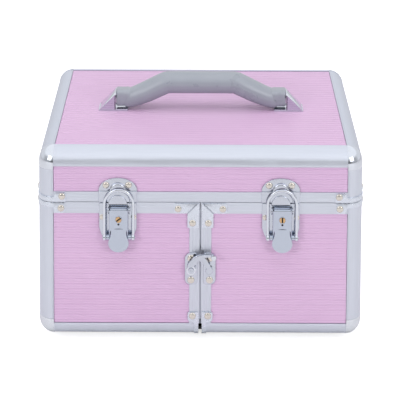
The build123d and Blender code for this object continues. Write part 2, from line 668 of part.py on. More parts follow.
def latch_bail():
    """hoop with two legs, an arched top and pivot eyes"""
    x, outer_r, wire = -LATCH_X, 14.5, 2.6
    inner_r = outer_r - wire
    y0, y1 = BAIL_Y - 1.0, BAIL_Y + 1.0
    arch_z = 150.8 - outer_r
    bail = rod_y(outer_r, x, y0, y1, arch_z)
    bail += box(x - outer_r, x + outer_r, y0, y1, BAIL_Z, arch_z)
    bail -= rod_y(inner_r, x, y0 - 1, y1 + 1, arch_z) + box(
        x - inner_r, x + inner_r, y0 - 1, y1 + 1, BAIL_Z - 5, arch_z
    )
    for sx in (-1, 1):
        x0, x1 = sorted((x + sx * inner_r, x + sx * outer_r))
        bail += rod_x(3.0, x0, x1, BAIL_Y, BAIL_Z)
    return bail - rod_x(BAIL_PIN_R + RUN, x - 20, x + 20, BAIL_Y, BAIL_Z)


def key_cylinder(slot_angle):
    key = rod_y(KEY_R, -LATCH_X, KEY_FRONT_Y, FRONT_Y - 2.9, KEY_Z)
    slot = Rot(0, slot_angle, 0) * Box(0.8, 2.0, 4.6)
    return key - Pos(-LATCH_X, KEY_FRONT_Y, KEY_Z) * slot


for part, shape in (("lever", latch_lever()), ("bail", latch_bail())):
    save("latch_left_" + part, shape)
    save("latch_right_" + part, flip(shape, -1))
save("latch_left_key_cylinder", key_cylinder(45))
save("latch_right_key_cylinder", flip(key_cylinder(0), -1))


# ================= hook latch between the doors =================
def hook_plate(x0, x1):
    return rounded(x0, x1, 57.4, 88.0, FRONT_Y - PLATE_T, FRONT_Y, 4.6)


def hook_pivot_plate():
    """left plate with the pivot post"""
    body = hook_plate(-14.3, -2.6)
    # radius, front and back distance before the box face: shoulder, journal, head
    for radius, front, back in ((2.2, 4.4, 1.0), (HOOK_PIN_R, 6.6, 4.0), (3.0, 7.2, 6.3)):
        body += rod_y(radius, HOOK_X, FRONT_Y - front, FRONT_Y - back, HOOK_Z)
    return body


def hook_catch_plate():
    """right plate with the peg"""
    body = hook_plate(2.6, 14.3)
    body += rod_y(2.2, PEG_X, FRONT_Y - 2.8, FRONT_Y - 1.0, PEG_Z)
    body += cone(3.5, 3.1, (PEG_X, FRONT_Y - 2.6, PEG_Z), (PEG_X, FRONT_Y - 4.0, PEG_Z))
    return body


def bar(points, width, y0, y1):
    """flat bar through (x, z) points with round ends and joints"""
    body = rod_y(width / 2, points[0][0], y0, y1, points[0][1])
    for (ax, az), (bx, bz) in zip(points, points[1:]):
        body += rod_y(width / 2, bx, y0, y1, bz)
        length = hypot(bx - ax, bz - az)
        nx, nz = -(bz - az) / length * width / 2, (bx - ax) / length * width / 2
        corners = [(ax + nx, az + nz), (bx + nx, bz + nz), (bx - nx, bz - nz), (ax - nx, az - nz)]
        body += plate(corners, y0, y1)
    return body


def swing_hook():
    """eye on the pivot, arm over the door split, claw towards the peg, knob"""
    y0, y1 = FRONT_Y - 6.2, FRONT_Y - 4.5
    elbow, knob = (0.8, 85.6), (12.4, 87.4)
    hook = rod_y(4.7, HOOK_X, y0, y1, HOOK_Z)
    hook += bar([(HOOK_X, HOOK_Z), (-7.4, 79.0), (-4.2, 83.2), elbow], 4.8, y0, y1)
    hook += bar([elbow, (4.6, 80.8), (7.6, 76.4)], 4.6, y0, y1)
    hook += bar([(0.8, 86.4), knob], 2.6, y0, y1)
    hook += rod_y(2.6, knob[0], FRONT_Y - 9.8, y1, knob[1])
    return hook - rod_y(HOOK_PIN_R + RUN, HOOK_X, FRONT_Y - 10, FRONT_Y, HOOK_Z)


save("hook_pivot_plate", hook_pivot_plate())
save("hook_catch_plate", hook_catch_plate())
save("swing_hook", swing_hook())


# ================= handle grip =================
def handle_grip():
    """straight middle, sloping arms and level ends bored for the pins"""
    mid_x, arm_x, neck_x = 35, 58.0, 73
    # the arm's axis runs straight from the grip's middle part to the neck
    arm_z = GRIP_Z - (GRIP_Z - HANDLE_Z) * (arm_x - mid_x) / (neck_x - mid_x)
    grip = rod_x(GRIP_R, -mid_x, mid_x, 0, GRIP_Z)
    for sx in (-1, 1):
        mid, arm = (sx * mid_x, 0, GRIP_Z), (sx * arm_x, 0, arm_z)
        neck = (sx * neck_x, 0, HANDLE_Z)
        grip += Pos(*mid) * Sphere(GRIP_R)
        grip += cyl(GRIP_R, mid, arm)
        grip += Pos(*arm) * Sphere(GRIP_R)
        grip += cone(10.3, GRIP_END_R, arm, neck)
        grip += Pos(*neck) * Sphere(GRIP_END_R)
        grip += cyl(GRIP_END_R, neck, (sx * 83.2, 0, HANDLE_Z))
    for sx in (-1, 1):
        grip -= rod_x(HANDLE_PIN_R + RUN, sx * 75.0, sx * 90, 0, HANDLE_Z)
    return Pos(0, HANDLE_Y, 0) * grip


save("handle_grip", handle_grip())
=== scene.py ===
import bpy, bmesh, math, random
import numpy as np
from mathutils import Vector, Matrix, noise


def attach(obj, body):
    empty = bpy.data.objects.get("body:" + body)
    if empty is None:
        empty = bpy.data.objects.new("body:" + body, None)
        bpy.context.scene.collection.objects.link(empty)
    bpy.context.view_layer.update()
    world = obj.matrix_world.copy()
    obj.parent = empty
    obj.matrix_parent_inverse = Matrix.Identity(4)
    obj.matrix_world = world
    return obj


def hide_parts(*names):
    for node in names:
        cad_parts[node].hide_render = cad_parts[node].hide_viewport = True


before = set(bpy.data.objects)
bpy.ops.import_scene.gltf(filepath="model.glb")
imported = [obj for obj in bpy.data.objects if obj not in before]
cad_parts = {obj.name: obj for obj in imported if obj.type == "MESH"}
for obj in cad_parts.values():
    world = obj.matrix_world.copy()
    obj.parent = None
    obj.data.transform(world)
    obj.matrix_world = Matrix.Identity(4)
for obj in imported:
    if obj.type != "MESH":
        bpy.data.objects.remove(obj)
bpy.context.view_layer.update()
MM = 0.001
YO = 3.1           # the drawing origin is the middle of the box, the CAD origin the middle of the outline
sc = bpy.context.scene

# ------------------------------------------------------------------ dimensions (mm, the CAD frame)
W, D, FOOT, R = 300.0, 220.0, 5.0, 14.5
REC, PT = 0.8, 3.0
CX, CY = W / 2 - R, D / 2 - R
ZB, ZT, TOP = FOOT + R, 185.0 - R, 185.0
SEAM = 136.0
Z_DT, Z_LB = SEAM - 0.18, SEAM + 0.18
YF, YB, XS = -110.0, 110.0, 150.0
LIDP = TOP - REC
LX = 75.0


# ------------------------------------------------------------------ materials
def mat(name):
    m = bpy.data.materials.new(name)
    m.use_nodes = True
    nt = m.node_tree
    return m, nt, nt.nodes["Principled BSDF"]


def N(nt, kind, **kw):
    n = nt.nodes.new(kind)
    for k, v in kw.items():
        if k.startswith("i_"):
            key = k[2:]
            key = int(key) if key.isdigit() else key.replace("_", " ")
            n.inputs[key].default_value = v
        else:
            setattr(n, k, v)
    return n


def noise_tex(nt, scale, stretch=(1, 1, 1), detail=4.0, rough=0.6, coord="Object"):
    tc = N(nt, "ShaderNodeTexCoord")
    mp = N(nt, "ShaderNodeMapping")
    mp.inputs["Scale"].default_value = stretch
    nt.links.new(tc.outputs[coord], mp.inputs[0])
    t = N(nt, "ShaderNodeTexNoise")
    t.inputs["Scale"].default_value = scale
    t.inputs["Detail"].default_value = detail
    t.inputs["Roughness"].default_value = rough
    nt.links.new(mp.outputs[0], t.inputs["Vector"])
    return t


def ramp(nt, src, p0, c0, p1, c1):
    r = N(nt, "ShaderNodeValToRGB")
    r.color_ramp.elements[0].position = p0
    r.color_ramp.elements[0].color = c0
    r.color_ramp.elements[1].position = p1
    r.color_ramp.elements[1].color = c1
    nt.links.new(src, r.inputs[0])
    return r


def maprange(nt, src, a, b, c, d):
    m = N(nt, "ShaderNodeMapRange")
    for i, v in enumerate((a, b, c, d)):
        m.inputs[i + 1].default_value = v
    nt.links.new(src, m.inputs[0])
    return m


def bump(nt, bs, src, strength, dist):
    b = N(nt, "ShaderNodeBump")
    b.inputs["Strength"].default_value = strength
    b.inputs["Distance"].default_value = dist
    nt.links.new(src, b.inputs["Height"])
    nt.links.new(b.outputs[0], bs.inputs["Normal"])
    return b


def metal(name, col, rough, rvar=0.05, stretch=(1, 1, 1), scale=900, bstr=0.08, bdist=0.00004, cvar=0.05, aniso=0.0, metallic=1.0):
    m, nt, bs = mat(name)
    bs.inputs["Metallic"].default_value = metallic
    t = noise_tex(nt, scale, stretch, 3.0)
    c0 = tuple(c * (1 - cvar) for c in col) + (1,)
    c1 = tuple(min(1, c * (1 + cvar)) for c in col) + (1,)
    r = ramp(nt, t.outputs["Fac"], 0.3, c0, 0.7, c1)
    nt.links.new(r.outputs[0], bs.inputs["Base Color"])
    # broad handling marks
    t2 = noise_tex(nt, 14, (1, 1, 1), 5.0)
    add = N(nt, "ShaderNodeMath", operation="ADD")
    mr = maprange(nt, t.outputs["Fac"], 0.3, 0.7, rough - rvar, rough + rvar)
    mr2 = maprange(nt, t2.outputs["Fac"], 0.35, 0.7, -rvar * 0.5, rvar * 0.8)
    nt.links.new(mr.outputs[0], add.inputs[0])
    nt.links.new(mr2.outputs[0], add.inputs[1])
    nt.links.new(add.outputs[0], bs.inputs["Roughness"])
    if aniso:
        bs.inputs["Anisotropic"].default_value = aniso
    bump(nt, bs, t.outputs["Fac"], bstr, bdist)
    return m


ALU = (0.635, 0.665, 0.735)
M_ALU_X = metal("alu_satin_x", ALU, 0.42, 0.05, (0.02, 1, 1), 1400, 0.10, 0.00003, 0.03)
M_ALU_Y = metal("alu_satin_y", ALU, 0.42, 0.05, (1, 0.02, 1), 1400, 0.10, 0.00003, 0.03)
M_ALU_Z = metal("alu_satin_z", ALU, 0.42, 0.05, (1, 1, 0.02), 1400, 0.10, 0.00003, 0.03)
M_BALL_SATIN = metal("corner_satin", (0.70, 0.73, 0.77), 0.24, 0.05, (1, 1, 1), 300, 0.05, 0.00003, 0.03)
M_CHROME = metal("chrome", (0.66, 0.69, 0.745), 0.07, 0.02, (1, 1, 1), 200, 0.03, 0.00002, 0.02)
M_CHROME_FLAT = metal("chrome_pressed", (0.555, 0.585, 0.65), 0.18, 0.04, (1, 1, 1), 260, 0.10, 0.00003, 0.03)
M_LEVER = metal("chrome_lever", (0.50, 0.545, 0.63), 0.17, 0.04, (1, 1, 1), 260, 0.08, 0.00003, 0.03)
M_STEEL = metal("bright_steel", (0.66, 0.70, 0.77), 0.27, 0.04, (1, 1, 1), 300, 0.03, 0.00002, 0.02)
M_NICKEL = metal("nickel_rivet", (0.66, 0.62, 0.56), 0.22, 0.06, (1, 1, 1), 500, 0.10, 0.00003, 0.05)
M_BRASS = metal("brass", (0.66, 0.43, 0.22), 0.25, 0.06, (1, 1, 1), 700, 0.15, 0.00003, 0.07)
M_HINGE = metal("hinge_steel", (0.70, 0.71, 0.73), 0.30, 0.07, (1, 1, 0.1), 500, 0.12, 0.00004, 0.05)


def pink():
    """ridged plastic sheet: painted shade darkens the colour with the groove depth, faint clouding and gloss changes"""
    m, nt, bs = mat("pink_ridged")
    t = noise_tex(nt, 9, (1, 1, 1), 4.0)
    r = ramp(nt, t.outputs["Fac"], 0.3, (0.650, 0.440, 0.648, 1), 0.7, (0.680, 0.468, 0.672, 1))
    # fine drawn streaks along the ridges
    t2 = noise_tex(nt, 500, (1, 1, 1), 3.0)
    r2 = ramp(nt, t2.outputs["Fac"], 0.3, (0.99, 0.99, 0.99, 1), 0.7, (1.0, 1.0, 1.0, 1))
    mx = N(nt, "ShaderNodeMix", data_type="RGBA", blend_type="MULTIPLY")
    mx.inputs[0].default_value = 1.0
    nt.links.new(r.outputs[0], mx.inputs[6])
    nt.links.new(r2.outputs[0], mx.inputs[7])
    # painted shade: grooves darker
    at = N(nt, "ShaderNodeAttribute", attribute_name="groove")
    groove_shade_mix = N(nt, "ShaderNodeMix", data_type="RGBA", blend_type="MULTIPLY")
    nt.links.new(at.outputs["Fac"], groove_shade_mix.inputs[0])
    nt.links.new(mx.outputs[2], groove_shade_mix.inputs[6])
    groove_shade_mix.inputs[7].default_value = (0.90, 0.865, 0.91, 1)
    # the sheet is coloured on its outer side only; the core behind it is black
    tco = N(nt, "ShaderNodeTexCoord")
    sub = N(nt, "ShaderNodeVectorMath", operation="SUBTRACT")
    nt.links.new(tco.outputs["Object"], sub.inputs[0])
    sub.inputs[1].default_value = (0.0, YO * MM, 90 * MM)
    dt = N(nt, "ShaderNodeVectorMath", operation="DOT_PRODUCT")
    nt.links.new(sub.outputs[0], dt.inputs[0])
    nt.links.new(tco.outputs["Normal"], dt.inputs[1])
    gt = N(nt, "ShaderNodeMath", operation="LESS_THAN")
    nt.links.new(dt.outputs["Value"], gt.inputs[0])
    gt.inputs[1].default_value = 0.0
    mi = N(nt, "ShaderNodeMix", data_type="RGBA")
    nt.links.new(gt.outputs[0], mi.inputs[0])
    nt.links.new(groove_shade_mix.outputs[2], mi.inputs[6])
    mi.inputs[7].default_value = (0.022, 0.022, 0.025, 1)
    nt.links.new(mi.outputs[2], bs.inputs["Base Color"])
    mr = maprange(nt, t.outputs["Fac"], 0.3, 0.7, 0.34, 0.42)
    nt.links.new(mr.outputs[0], bs.inputs["Roughness"])
    bs.inputs["Coat Weight"].default_value = 0.15
    bs.inputs["Coat Roughness"].default_value = 0.25
    t3 = noise_tex(nt, 1500, (1, 1, 1), 2.0)
    bump(nt, bs, t3.outputs["Fac"], 0.05, 0.00003)
    return m


def plastic(name, c0, c1, rough, scale=60, bscale=1600, bstr=0.15, bdist=0.00005, coat=0.0):
    m, nt, bs = mat(name)
    t = noise_tex(nt, scale, (1, 1, 1), 4.0)
    r = ramp(nt, t.outputs["Fac"], 0.3, c0 + (1,), 0.7, c1 + (1,))
    nt.links.new(r.outputs[0], bs.inputs["Base Color"])
    mr = maprange(nt, t.outputs["Fac"], 0.3, 0.7, rough - 0.05, rough + 0.06)
    nt.links.new(mr.outputs[0], bs.inputs["Roughness"])
    t3 = noise_tex(nt, bscale, (1, 1, 1), 2.0)
    bump(nt, bs, t3.outputs["Fac"], bstr, bdist)
    bs.inputs["Coat Weight"].default_value = coat
    bs.inputs["Coat Roughness"].default_value = 0.12
    return m


def fabric(name, c0, c1, pitch=0.9):
    """plain weave from two crossed wave patterns, with a soft sheen"""
    m, nt, bs = mat(name)
    tc = N(nt, "ShaderNodeTexCoord")
    waves = []
    for ax in (0, 1, 2):
        sx = N(nt, "ShaderNodeSeparateXYZ")
        nt.links.new(tc.outputs["Object"], sx.inputs[0])
        mu = N(nt, "ShaderNodeMath", operation="MULTIPLY")
        mu.inputs[1].default_value = 2 * math.pi / (pitch * MM)
        nt.links.new(sx.outputs[ax], mu.inputs[0])
        si = N(nt, "ShaderNodeMath", operation="SINE")
        nt.links.new(mu.outputs[0], si.inputs[0])
        waves.append(si)
    a = N(nt, "ShaderNodeMath", operation="MULTIPLY")
    nt.links.new(waves[0].outputs[0], a.inputs[0])
    nt.links.new(waves[1].outputs[0], a.inputs[1])
    b = N(nt, "ShaderNodeMath", operation="ADD")
    nt.links.new(a.outputs[0], b.inputs[0])
    nt.links.new(waves[2].outputs[0], b.inputs[1])
    t = noise_tex(nt, 500, (1, 1, 1), 3.0)
    c = N(nt, "ShaderNodeMath", operation="ADD")
    nt.links.new(b.outputs[0], c.inputs[0])
    nt.links.new(t.outputs["Fac"], c.inputs[1])
    r = ramp(nt, c.outputs[0], 0.0, c0 + (1,), 1.6, c1 + (1,))
    nt.links.new(r.outputs[0], bs.inputs["Base Color"])
    bs.inputs["Roughness"].default_value = 0.85
    bs.inputs["Sheen Weight"].default_value = 0.25
    bs.inputs["Sheen Roughness"].default_value = 0.5
    bump(nt, bs, c.outputs[0], 0.35, 0.00012)
    return m


M_PINK = pink()
M_GRIP = plastic("grip_grey", (0.300, 0.330, 0.372), (0.325, 0.353, 0.395), 0.30, 40, 1200, 0.05, 0.00003, 0.25)
M_TRAY = plastic("tray_black", (0.022, 0.022, 0.025), (0.035, 0.035, 0.038), 0.55, 120, 2600, 0.5, 0.00012)
M_BOARD = plastic("board_black", (0.02, 0.02, 0.022), (0.04, 0.04, 0.043), 0.6, 80, 1200, 0.6, 0.0002)
M_RUBBER = plastic("rubber_black", (0.018, 0.018, 0.018), (0.03, 0.03, 0.03), 0.75, 90, 2000, 0.4, 0.0001)
# near-black used as painted shade: the strip behind the lever's arch, its small hole and the key slot floor
M_SHADE_BLACK = plastic("slot_dark", (0.01, 0.01, 0.01), (0.015, 0.015, 0.015), 0.7)
M_FABRIC = fabric("lining_black", (0.016, 0.016, 0.018), (0.045, 0.045, 0.05), 1.1)


def mirror_mat():
    m, nt, bs = mat("mirror_glass")
    bs.inputs["Metallic"].default_value = 1.0
    t = noise_tex(nt, 6, (1, 1, 1), 3.0)
    r = ramp(nt, t.outputs["Fac"], 0.3, (0.86, 0.88, 0.88, 1), 0.7, (0.9, 0.92, 0.92, 1))
    nt.links.new(r.outputs[0], bs.inputs["Base Color"])
    mr = maprange(nt, t.outputs["Fac"], 0.3, 0.7, 0.015, 0.035)
    nt.links.new(mr.outputs[0], bs.inputs["Roughness"])
    return m


M_MIRROR = mirror_mat()


# ------------------------------------------------------------------ mesh tools (inputs in mm)
def finish_mesh(me, angle=38.0):
    """outward normals, smooth faces, sharp edges by angle"""
    bm = bmesh.new()
    bm.from_mesh(me)
    bmesh.ops.remove_doubles(bm, verts=bm.verts, dist=1e-7)
    bmesh.ops.recalc_face_normals(bm, faces=bm.faces)
    lim = math.radians(angle)
    for e in bm.edges:
        e.smooth = not (len(e.link_faces) == 2 and e.calc_face_angle(0.0) > lim)
    for f in bm.faces:
        f.smooth = True
    bm.to_mesh(me)
    bm.free()
    me.update()


class Part:
    """collects solids (verts, faces) in mm, then makes one object"""

    def __init__(self):
        self.v, self.f, self.g = [], [], []

    def add(self, verts, faces, groove=None):
        o = len(self.v)
        self.v += [tuple(p) for p in verts]
        self.g += list(groove) if groove else [0.0] * len(verts)
        self.f += [tuple(i + o for i in f) for f in faces]
        return self

    def mirrored(self, ax=0):
        p = Part()
        s = [1, 1, 1]
        s[ax] = -1
        p.v = [(a * s[0], b * s[1], c * s[2]) for a, b, c in self.v]
        p.f = [tuple(reversed(f)) for f in self.f]
        p.g = list(self.g)
        return p

    def join(self, other):
        return self.add(other.v, other.f, other.g)

    def moved(self, dx=0, dy=0, dz=0):
        p = Part()
        p.v = [(a + dx, b + dy, c + dz) for a, b, c in self.v]
        p.f = list(self.f)
        p.g = list(self.g)
        return p

    def make(self, name, material, body, repl=(), slot=None, bevel=0.0, seg=2, angle=38.0, subsurf=0, bangle=30.0):
        me = bpy.data.meshes.new(name)
        me.from_pydata([(a * MM, (b + YO) * MM, c * MM) for a, b, c in self.v], [], self.f)
        # per-vertex groove depth; the pink material uses it to paint the grooves darker (painted shade)
        if any(self.g):
            at = me.attributes.new("groove", "FLOAT", "POINT")
            at.data.foreach_set("value", self.g)
        finish_mesh(me, angle)
        me.materials.append(material)
        ob = bpy.data.objects.new(name, me)
        sc.collection.objects.link(ob)
        if bevel:
            md = ob.modifiers.new("edge", "BEVEL")
            md.width = bevel * MM
            md.segments = seg
            md.limit_method = "ANGLE"
            md.angle_limit = math.radians(bangle)
            md.harden_normals = True
            md.use_clamp_overlap = True
        if subsurf:
            md = ob.modifiers.new("sub", "SUBSURF")
            md.levels = md.render_levels = subsurf
        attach(ob, body)
        if repl:
            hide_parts(*repl)
        return ob


def P3(plane, a, b, t):
    if plane == "F":      # (x, z), thickness along y
        return (a, t, b)
    if plane == "T":      # (x, y), thickness along z
        return (a, b, t)
    return (t, a, b)      # "S": (y, z), thickness along x


def prism(outline, t0, t1, plane="F", inset=0.0, drop=0.0):
    """extruded outline; inset and drop are not used"""
    n = len(outline)
    v = [P3(plane, a, b, t0) for a, b in outline]
    f = [tuple(range(n))]
    v += [P3(plane, a, b, t1) for a, b in outline]
    for i in range(n):
        j = (i + 1) % n
        f.append((i, j, n + j, n + i))
    f.append(tuple(range(2 * n - 1, n - 1, -1)))
    return v, f


def arc(cx, cy, r, a0, a1, n):
    return [
        (cx + r * math.cos(math.radians(a0 + (a1 - a0) * i / n)), cy + r * math.sin(math.radians(a0 + (a1 - a0) * i / n)))
        for i in range(n + 1)
    ]


def rrect(x0, x1, y0, y1, r, n=6, corners=(1, 1, 1, 1)):
    """rounded rectangle outline, corners = (lower left, lower right, upper right, upper left) radius factors"""
    out = []
    rs = [r * c for c in corners]
    for (cx, cy, a0, rr) in (
        (x0, y0, 180, rs[0]), (x1, y0, 270, rs[1]), (x1, y1, 0, rs[2]), (x0, y1, 90, rs[3]),
    ):
        if rr < 1e-6:
            out.append((cx, cy))
            continue
        ox = cx + (rr if cx == x0 else -rr)
        oy = cy + (rr if cy == y0 else -rr)
        out += arc(ox, oy, rr, a0, a0 + 90, n)
    return out


def lathe(profile, origin, axis, n=28, loop=False):
    """profile of (radius, height) from the base up; closed at the axis, or a ring if loop"""
    ax = Vector(axis).normalized()
    u = ax.orthogonal().normalized()
    w = ax.cross(u)
    o = Vector(origin)
    v, f, rings = [], [], []
    for r, h in profile:
        if r < 1e-6:
            rings.append([len(v)])
            v.append(tuple(o + ax * h))
        else:
            rings.append(list(range(len(v), len(v) + n)))
            for i in range(n):
                a = 2 * math.pi * i / n
                v.append(tuple(o + ax * h + (u * math.cos(a) + w * math.sin(a)) * r))
    for a, b in zip(rings, rings[1:] + ([rings[0]] if loop else [])):
        for i in range(n):
            j = (i + 1) % n
            if len(a) == 1 and len(b) == 1:
                break
            if len(a) == 1:
                f.append((a[0], b[j], b[i]))
            elif len(b) == 1:
                f.append((a[i], a[j], b[0]))
            else:
                f.append((a[i], a[j], b[j], b[i]))
    if loop:
        return v, f
    if len(rings[0]) > 1:
        f.append(tuple(reversed(rings[0])))
    if len(rings[-1]) > 1:
        f.append(tuple(rings[-1]))
    return v, f


def rivet(x, y, z, d=(0, -1, 0), r=3.2, h=1.4):
    pr = [(r, 0.0), (r, 0.18), (r * 0.985, 0.28)]
    for k in range(1, 8):
        a = k / 8 * math.pi / 2
        pr.append((r * 0.97 * math.cos(a), 0.28 + (h - 0.28) * math.sin(a)))
    pr.append((0, h))
    return lathe(pr, (x, y, z), d, 24)


def sweep(path, section, closed_caps=True, up=(0, 1, 0)):
    """sweep a closed 2D section (a along the in-plane normal, b along up) along a planar path"""
    up = Vector(up)
    pts = [Vector(p) for p in path]
    n, m = len(pts), len(section)
    v, f = [], []
    for i, p in enumerate(pts):
        t = (pts[min(i + 1, n - 1)] - pts[max(i - 1, 0)]).normalized()
        nrm = up.cross(t).normalized()
        for a, b in section:
            v.append(tuple(p + nrm * a + up * b))
    for i in range(n - 1):
        for j in range(m):
            k = (j + 1) % m
            f.append((i * m + j, i * m + k, (i + 1) * m + k, (i + 1) * m + j))
    if closed_caps:
        f.append(tuple(reversed(range(m))))
        f.append(tuple((n - 1) * m + j for j in range(m)))
    return v, f


def smooth_path(pts, n=8):
    """Catmull-Rom through the points"""
    P = [Vector(p) for p in pts]
    P = [P[0] * 2 - P[1]] + P + [P[-1] * 2 - P[-2]]
    out = []
    for i in range(1, len(P) - 2):
        for k in range(n):
            t = k / n
            a, b, c, d = P[i - 1], P[i], P[i + 1], P[i + 2]
            out.append(0.5 * ((2 * b) + (c - a) * t + (2 * a - 5 * b + 4 * c - d) * t * t + (3 * b - a - 3 * c + d) * t ** 3))
    out.append(P[-2])
    return [tuple(p) for p in out]


# ------------------------------------------------------------------ carried-over CAD nodes
def dress(node, *mats, bevel=0.0, seg=2, ang=30):
    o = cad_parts[node]
    me = o.data
    while len(me.materials) < len(mats):
        me.materials.append(None)
    for i in range(len(me.materials)):
        me.materials[i] = mats[min(i, len(mats) - 1)]
    if bevel:
        md = o.modifiers.new("edge", "BEVEL")
        md.width = bevel * MM
        md.segments = seg
        md.limit_method = "ANGLE"
        md.angle_limit = math.radians(ang)
        md.harden_normals = True


SLOTM = {
    "ridged_panel": M_PINK, "floor_board": M_BOARD, "satin_aluminium": M_ALU_X, "chrome_fittings": M_CHROME,
    "bright_steel_fittings": M_STEEL, "hinge_steel": M_HINGE, "rivet_nickel": M_NICKEL, "key_brass": M_BRASS,
    "grip_plastic": M_GRIP, "tray_plastic": M_TRAY, "lining_fabric": M_FABRIC, "mirror_glass": M_MIRROR,
    "foot_rubber": M_RUBBER,
}
for nm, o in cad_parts.items():
    for i, m in enumerate(o.data.materials):
        if m is None:
            continue
        base = m.name.split(".")[0]
        if base in SLOTM:
            o.data.materials[i] = SLOTM[base]
        else:
            print("no slot material", nm, m.name)

def extrude2d(pts, faces, stations, mapper):
    """closed solid from a plane section (points, counter-clockwise faces) carried through the stations"""
    n, m = len(pts), len(stations)
    v = []
    for t in stations:
        v += [mapper(a, b, t) for a, b in pts]
    f = [tuple(fa) for fa in faces] + [tuple((m - 1) * n + i for i in reversed(fa)) for fa in faces]
    edges = set()
    for fa in faces:
        for i in range(len(fa)):
            edges.add((fa[i], fa[(i + 1) % len(fa)]))
    for a, b in edges:
        if (b, a) not in edges:
            for k in range(m - 1):
                f.append((k * n + b, k * n + a, (k + 1) * n + a, (k + 1) * n + b))
    return v, f


def boxp(x0, x1, y0, y1, z0, z1):
    v = [(x, y, z) for z in (z0, z1) for y in (y0, y1) for x in (x0, x1)]
    return v, [(0, 1, 3, 2), (4, 6, 7, 5), (0, 4, 5, 1), (2, 3, 7, 6), (0, 2, 6, 4), (1, 5, 7, 3)]


def round_poly(pts, radii, n=6):
    """outline with rounded corners"""
    out, m = [], len(pts)
    for i in range(m):
        r = radii[i] if i < len(radii) else 0
        p = Vector(pts[i]).to_2d()
        if r < 1e-6:
            out.append(tuple(p))
            continue
        a = (Vector(pts[i - 1]).to_2d() - p)
        b = (Vector(pts[(i + 1) % m]).to_2d() - p)
        la, lb = a.length, b.length
        a.normalize()
        b.normalize()
        ang = math.acos(max(-1, min(1, a.dot(b))))
        t = min(r / math.tan(ang / 2), la * 0.49, lb * 0.49)
        r2 = t * math.tan(ang / 2)
        c = p + (a + b).normalized() * (r2 / math.sin(ang / 2))
        s, e = p + a * t - c, p + b * t - c
        a0, a1 = math.atan2(s.y, s.x), math.atan2(e.y, e.x)
        d = (a1 - a0 + math.pi) % (2 * math.pi) - math.pi
        for k in range(n + 1):
            q = a0 + d * k / n
            out.append((c.x + r2 * math.cos(q), c.y + r2 * math.sin(q)))
    return out


def inset(outline, d):
    """offset a closed outline inward by d"""
    m = len(outline)
    area2 = sum(outline[i][0] * outline[(i + 1) % m][1] - outline[(i + 1) % m][0] * outline[i][1] for i in range(m))
    sg = 1 if area2 > 0 else -1
    out = []
    for i in range(m):
        p = Vector(outline[i])
        a, b = Vector(outline[i - 1]), Vector(outline[(i + 1) % m])
        e1, e2 = (p - a), (b - p)
        if e1.length < 1e-9:
            e1 = e2
        if e2.length < 1e-9:
            e2 = e1
        e1, e2 = e1.normalized(), e2.normalized()
        n1, n2 = Vector((-e1.y, e1.x)) * sg, Vector((-e2.y, e2.x)) * sg
        nn = n1 + n2
        if nn.length < 1e-6:
            nn = n1
        nn.normalize()
        k = 1.0 / max(0.35, nn.dot(n1))
        q = p + nn * d * k
        out.append((q.x, q.y))
    return out


def pressed(outline, t0, t1, plane="F", edge=0.35, crown=0.0):
    """plate with rolled edges on its t1 side: t0 is the back face, t1 the front face"""
    sg = 1 if t1 > t0 else -1
    rings = [(outline, t0), (outline, t1 - sg * edge)]
    for k in (1, 2, 3):
        a = k / 3 * math.pi / 2
        rings.append((inset(outline, edge * (1 - math.cos(a))), t1 - sg * edge * (1 - math.sin(a))))
    n = len(outline)
    v, f = [], []
    for o, t in rings:
        v += [P3(plane, a, b, t) for a, b in o]
    f.append(tuple(range(n)))
    for r in range(len(rings) - 1):
        for i in range(n):
            j = (i + 1) % n
            f.append((r * n + i, r * n + j, (r + 1) * n + j, (r + 1) * n + i))
    f.append(tuple(reversed(range((len(rings) - 1) * n, len(rings) * n))))
    return v, f


# ------------------------------------------------------------------ ridged panels
def ridged(mapper, a0, a1, b0, b1, d_out, d_in, pitch=2.46, depth=0.28, weak=0.58, shade_gain=1.0):
    """mapper(a, b, d): ridges run along a; d is the depth below the rail faces"""
    prof = ((0.0, 1.0), (0.07, 0.86), (0.15, 0.42), (0.26, 0.14), (0.40, 0.02), (0.55, 0.0), (0.70, 0.04), (0.82, 0.20), (0.91, 0.5), (0.96, 0.86))
    # the sheet stops just short of the rails, which leaves a fine dark line round it
    a0, a1, b0, b1 = a0 + 0.3, a1 - 0.3, b0 + 0.3, b1 - 0.3
    n = int(round((b1 - b0) / pitch))
    p = (b1 - b0) / n
    rows = []
    for k in range(n):
        dp = depth * (1.0 if k % 2 else weak)
        dn = depth * (1.0 if (k + 1) % 2 else weak)
        for fr, q in prof:
            use = dp if fr < 0.5 else dn
            # third value: how strongly painted shade darkens the colour here, scaled by shade_gain
            rows.append((b0 + (k + fr) * p, d_out + use * q, min(1.0, shade_gain * q * use / depth)))
    rows.append((b1, d_out + depth * 0.8, 0.8))
    m = len(rows)
    v = [mapper(a0, b, d) for b, d, g in rows] + [mapper(a1, b, d) for b, d, g in rows]
    g = [q for _, _, q in rows] * 2
    f = [(i, i + 1, m + i + 1, m + i) for i in range(m - 1)]
    o = len(v)
    v += [mapper(a0, b0, d_in), mapper(a0, b1, d_in), mapper(a1, b0, d_in), mapper(a1, b1, d_in)]
    g += [0, 0, 0, 0]
    f += [(o, o + 1, o + 3, o + 2), (0, m, o + 2, o), (m - 1, o + 1, o + 3, 2 * m - 1)]
    f.append(tuple(range(m)) + (o + 1, o))
    f.append((o + 2, o + 3) + tuple(reversed(range(m, 2 * m))))
    return v, f, g


def map_front(a, b, d): return (a, YF + d, b)
def map_back(a, b, d): return (a, YB - d, b)
def map_left(a, b, d): return (-XS + d, a, b)
def map_right(a, b, d): return (XS - d, a, b)
def map_top(a, b, d): return (a, b, TOP - d)
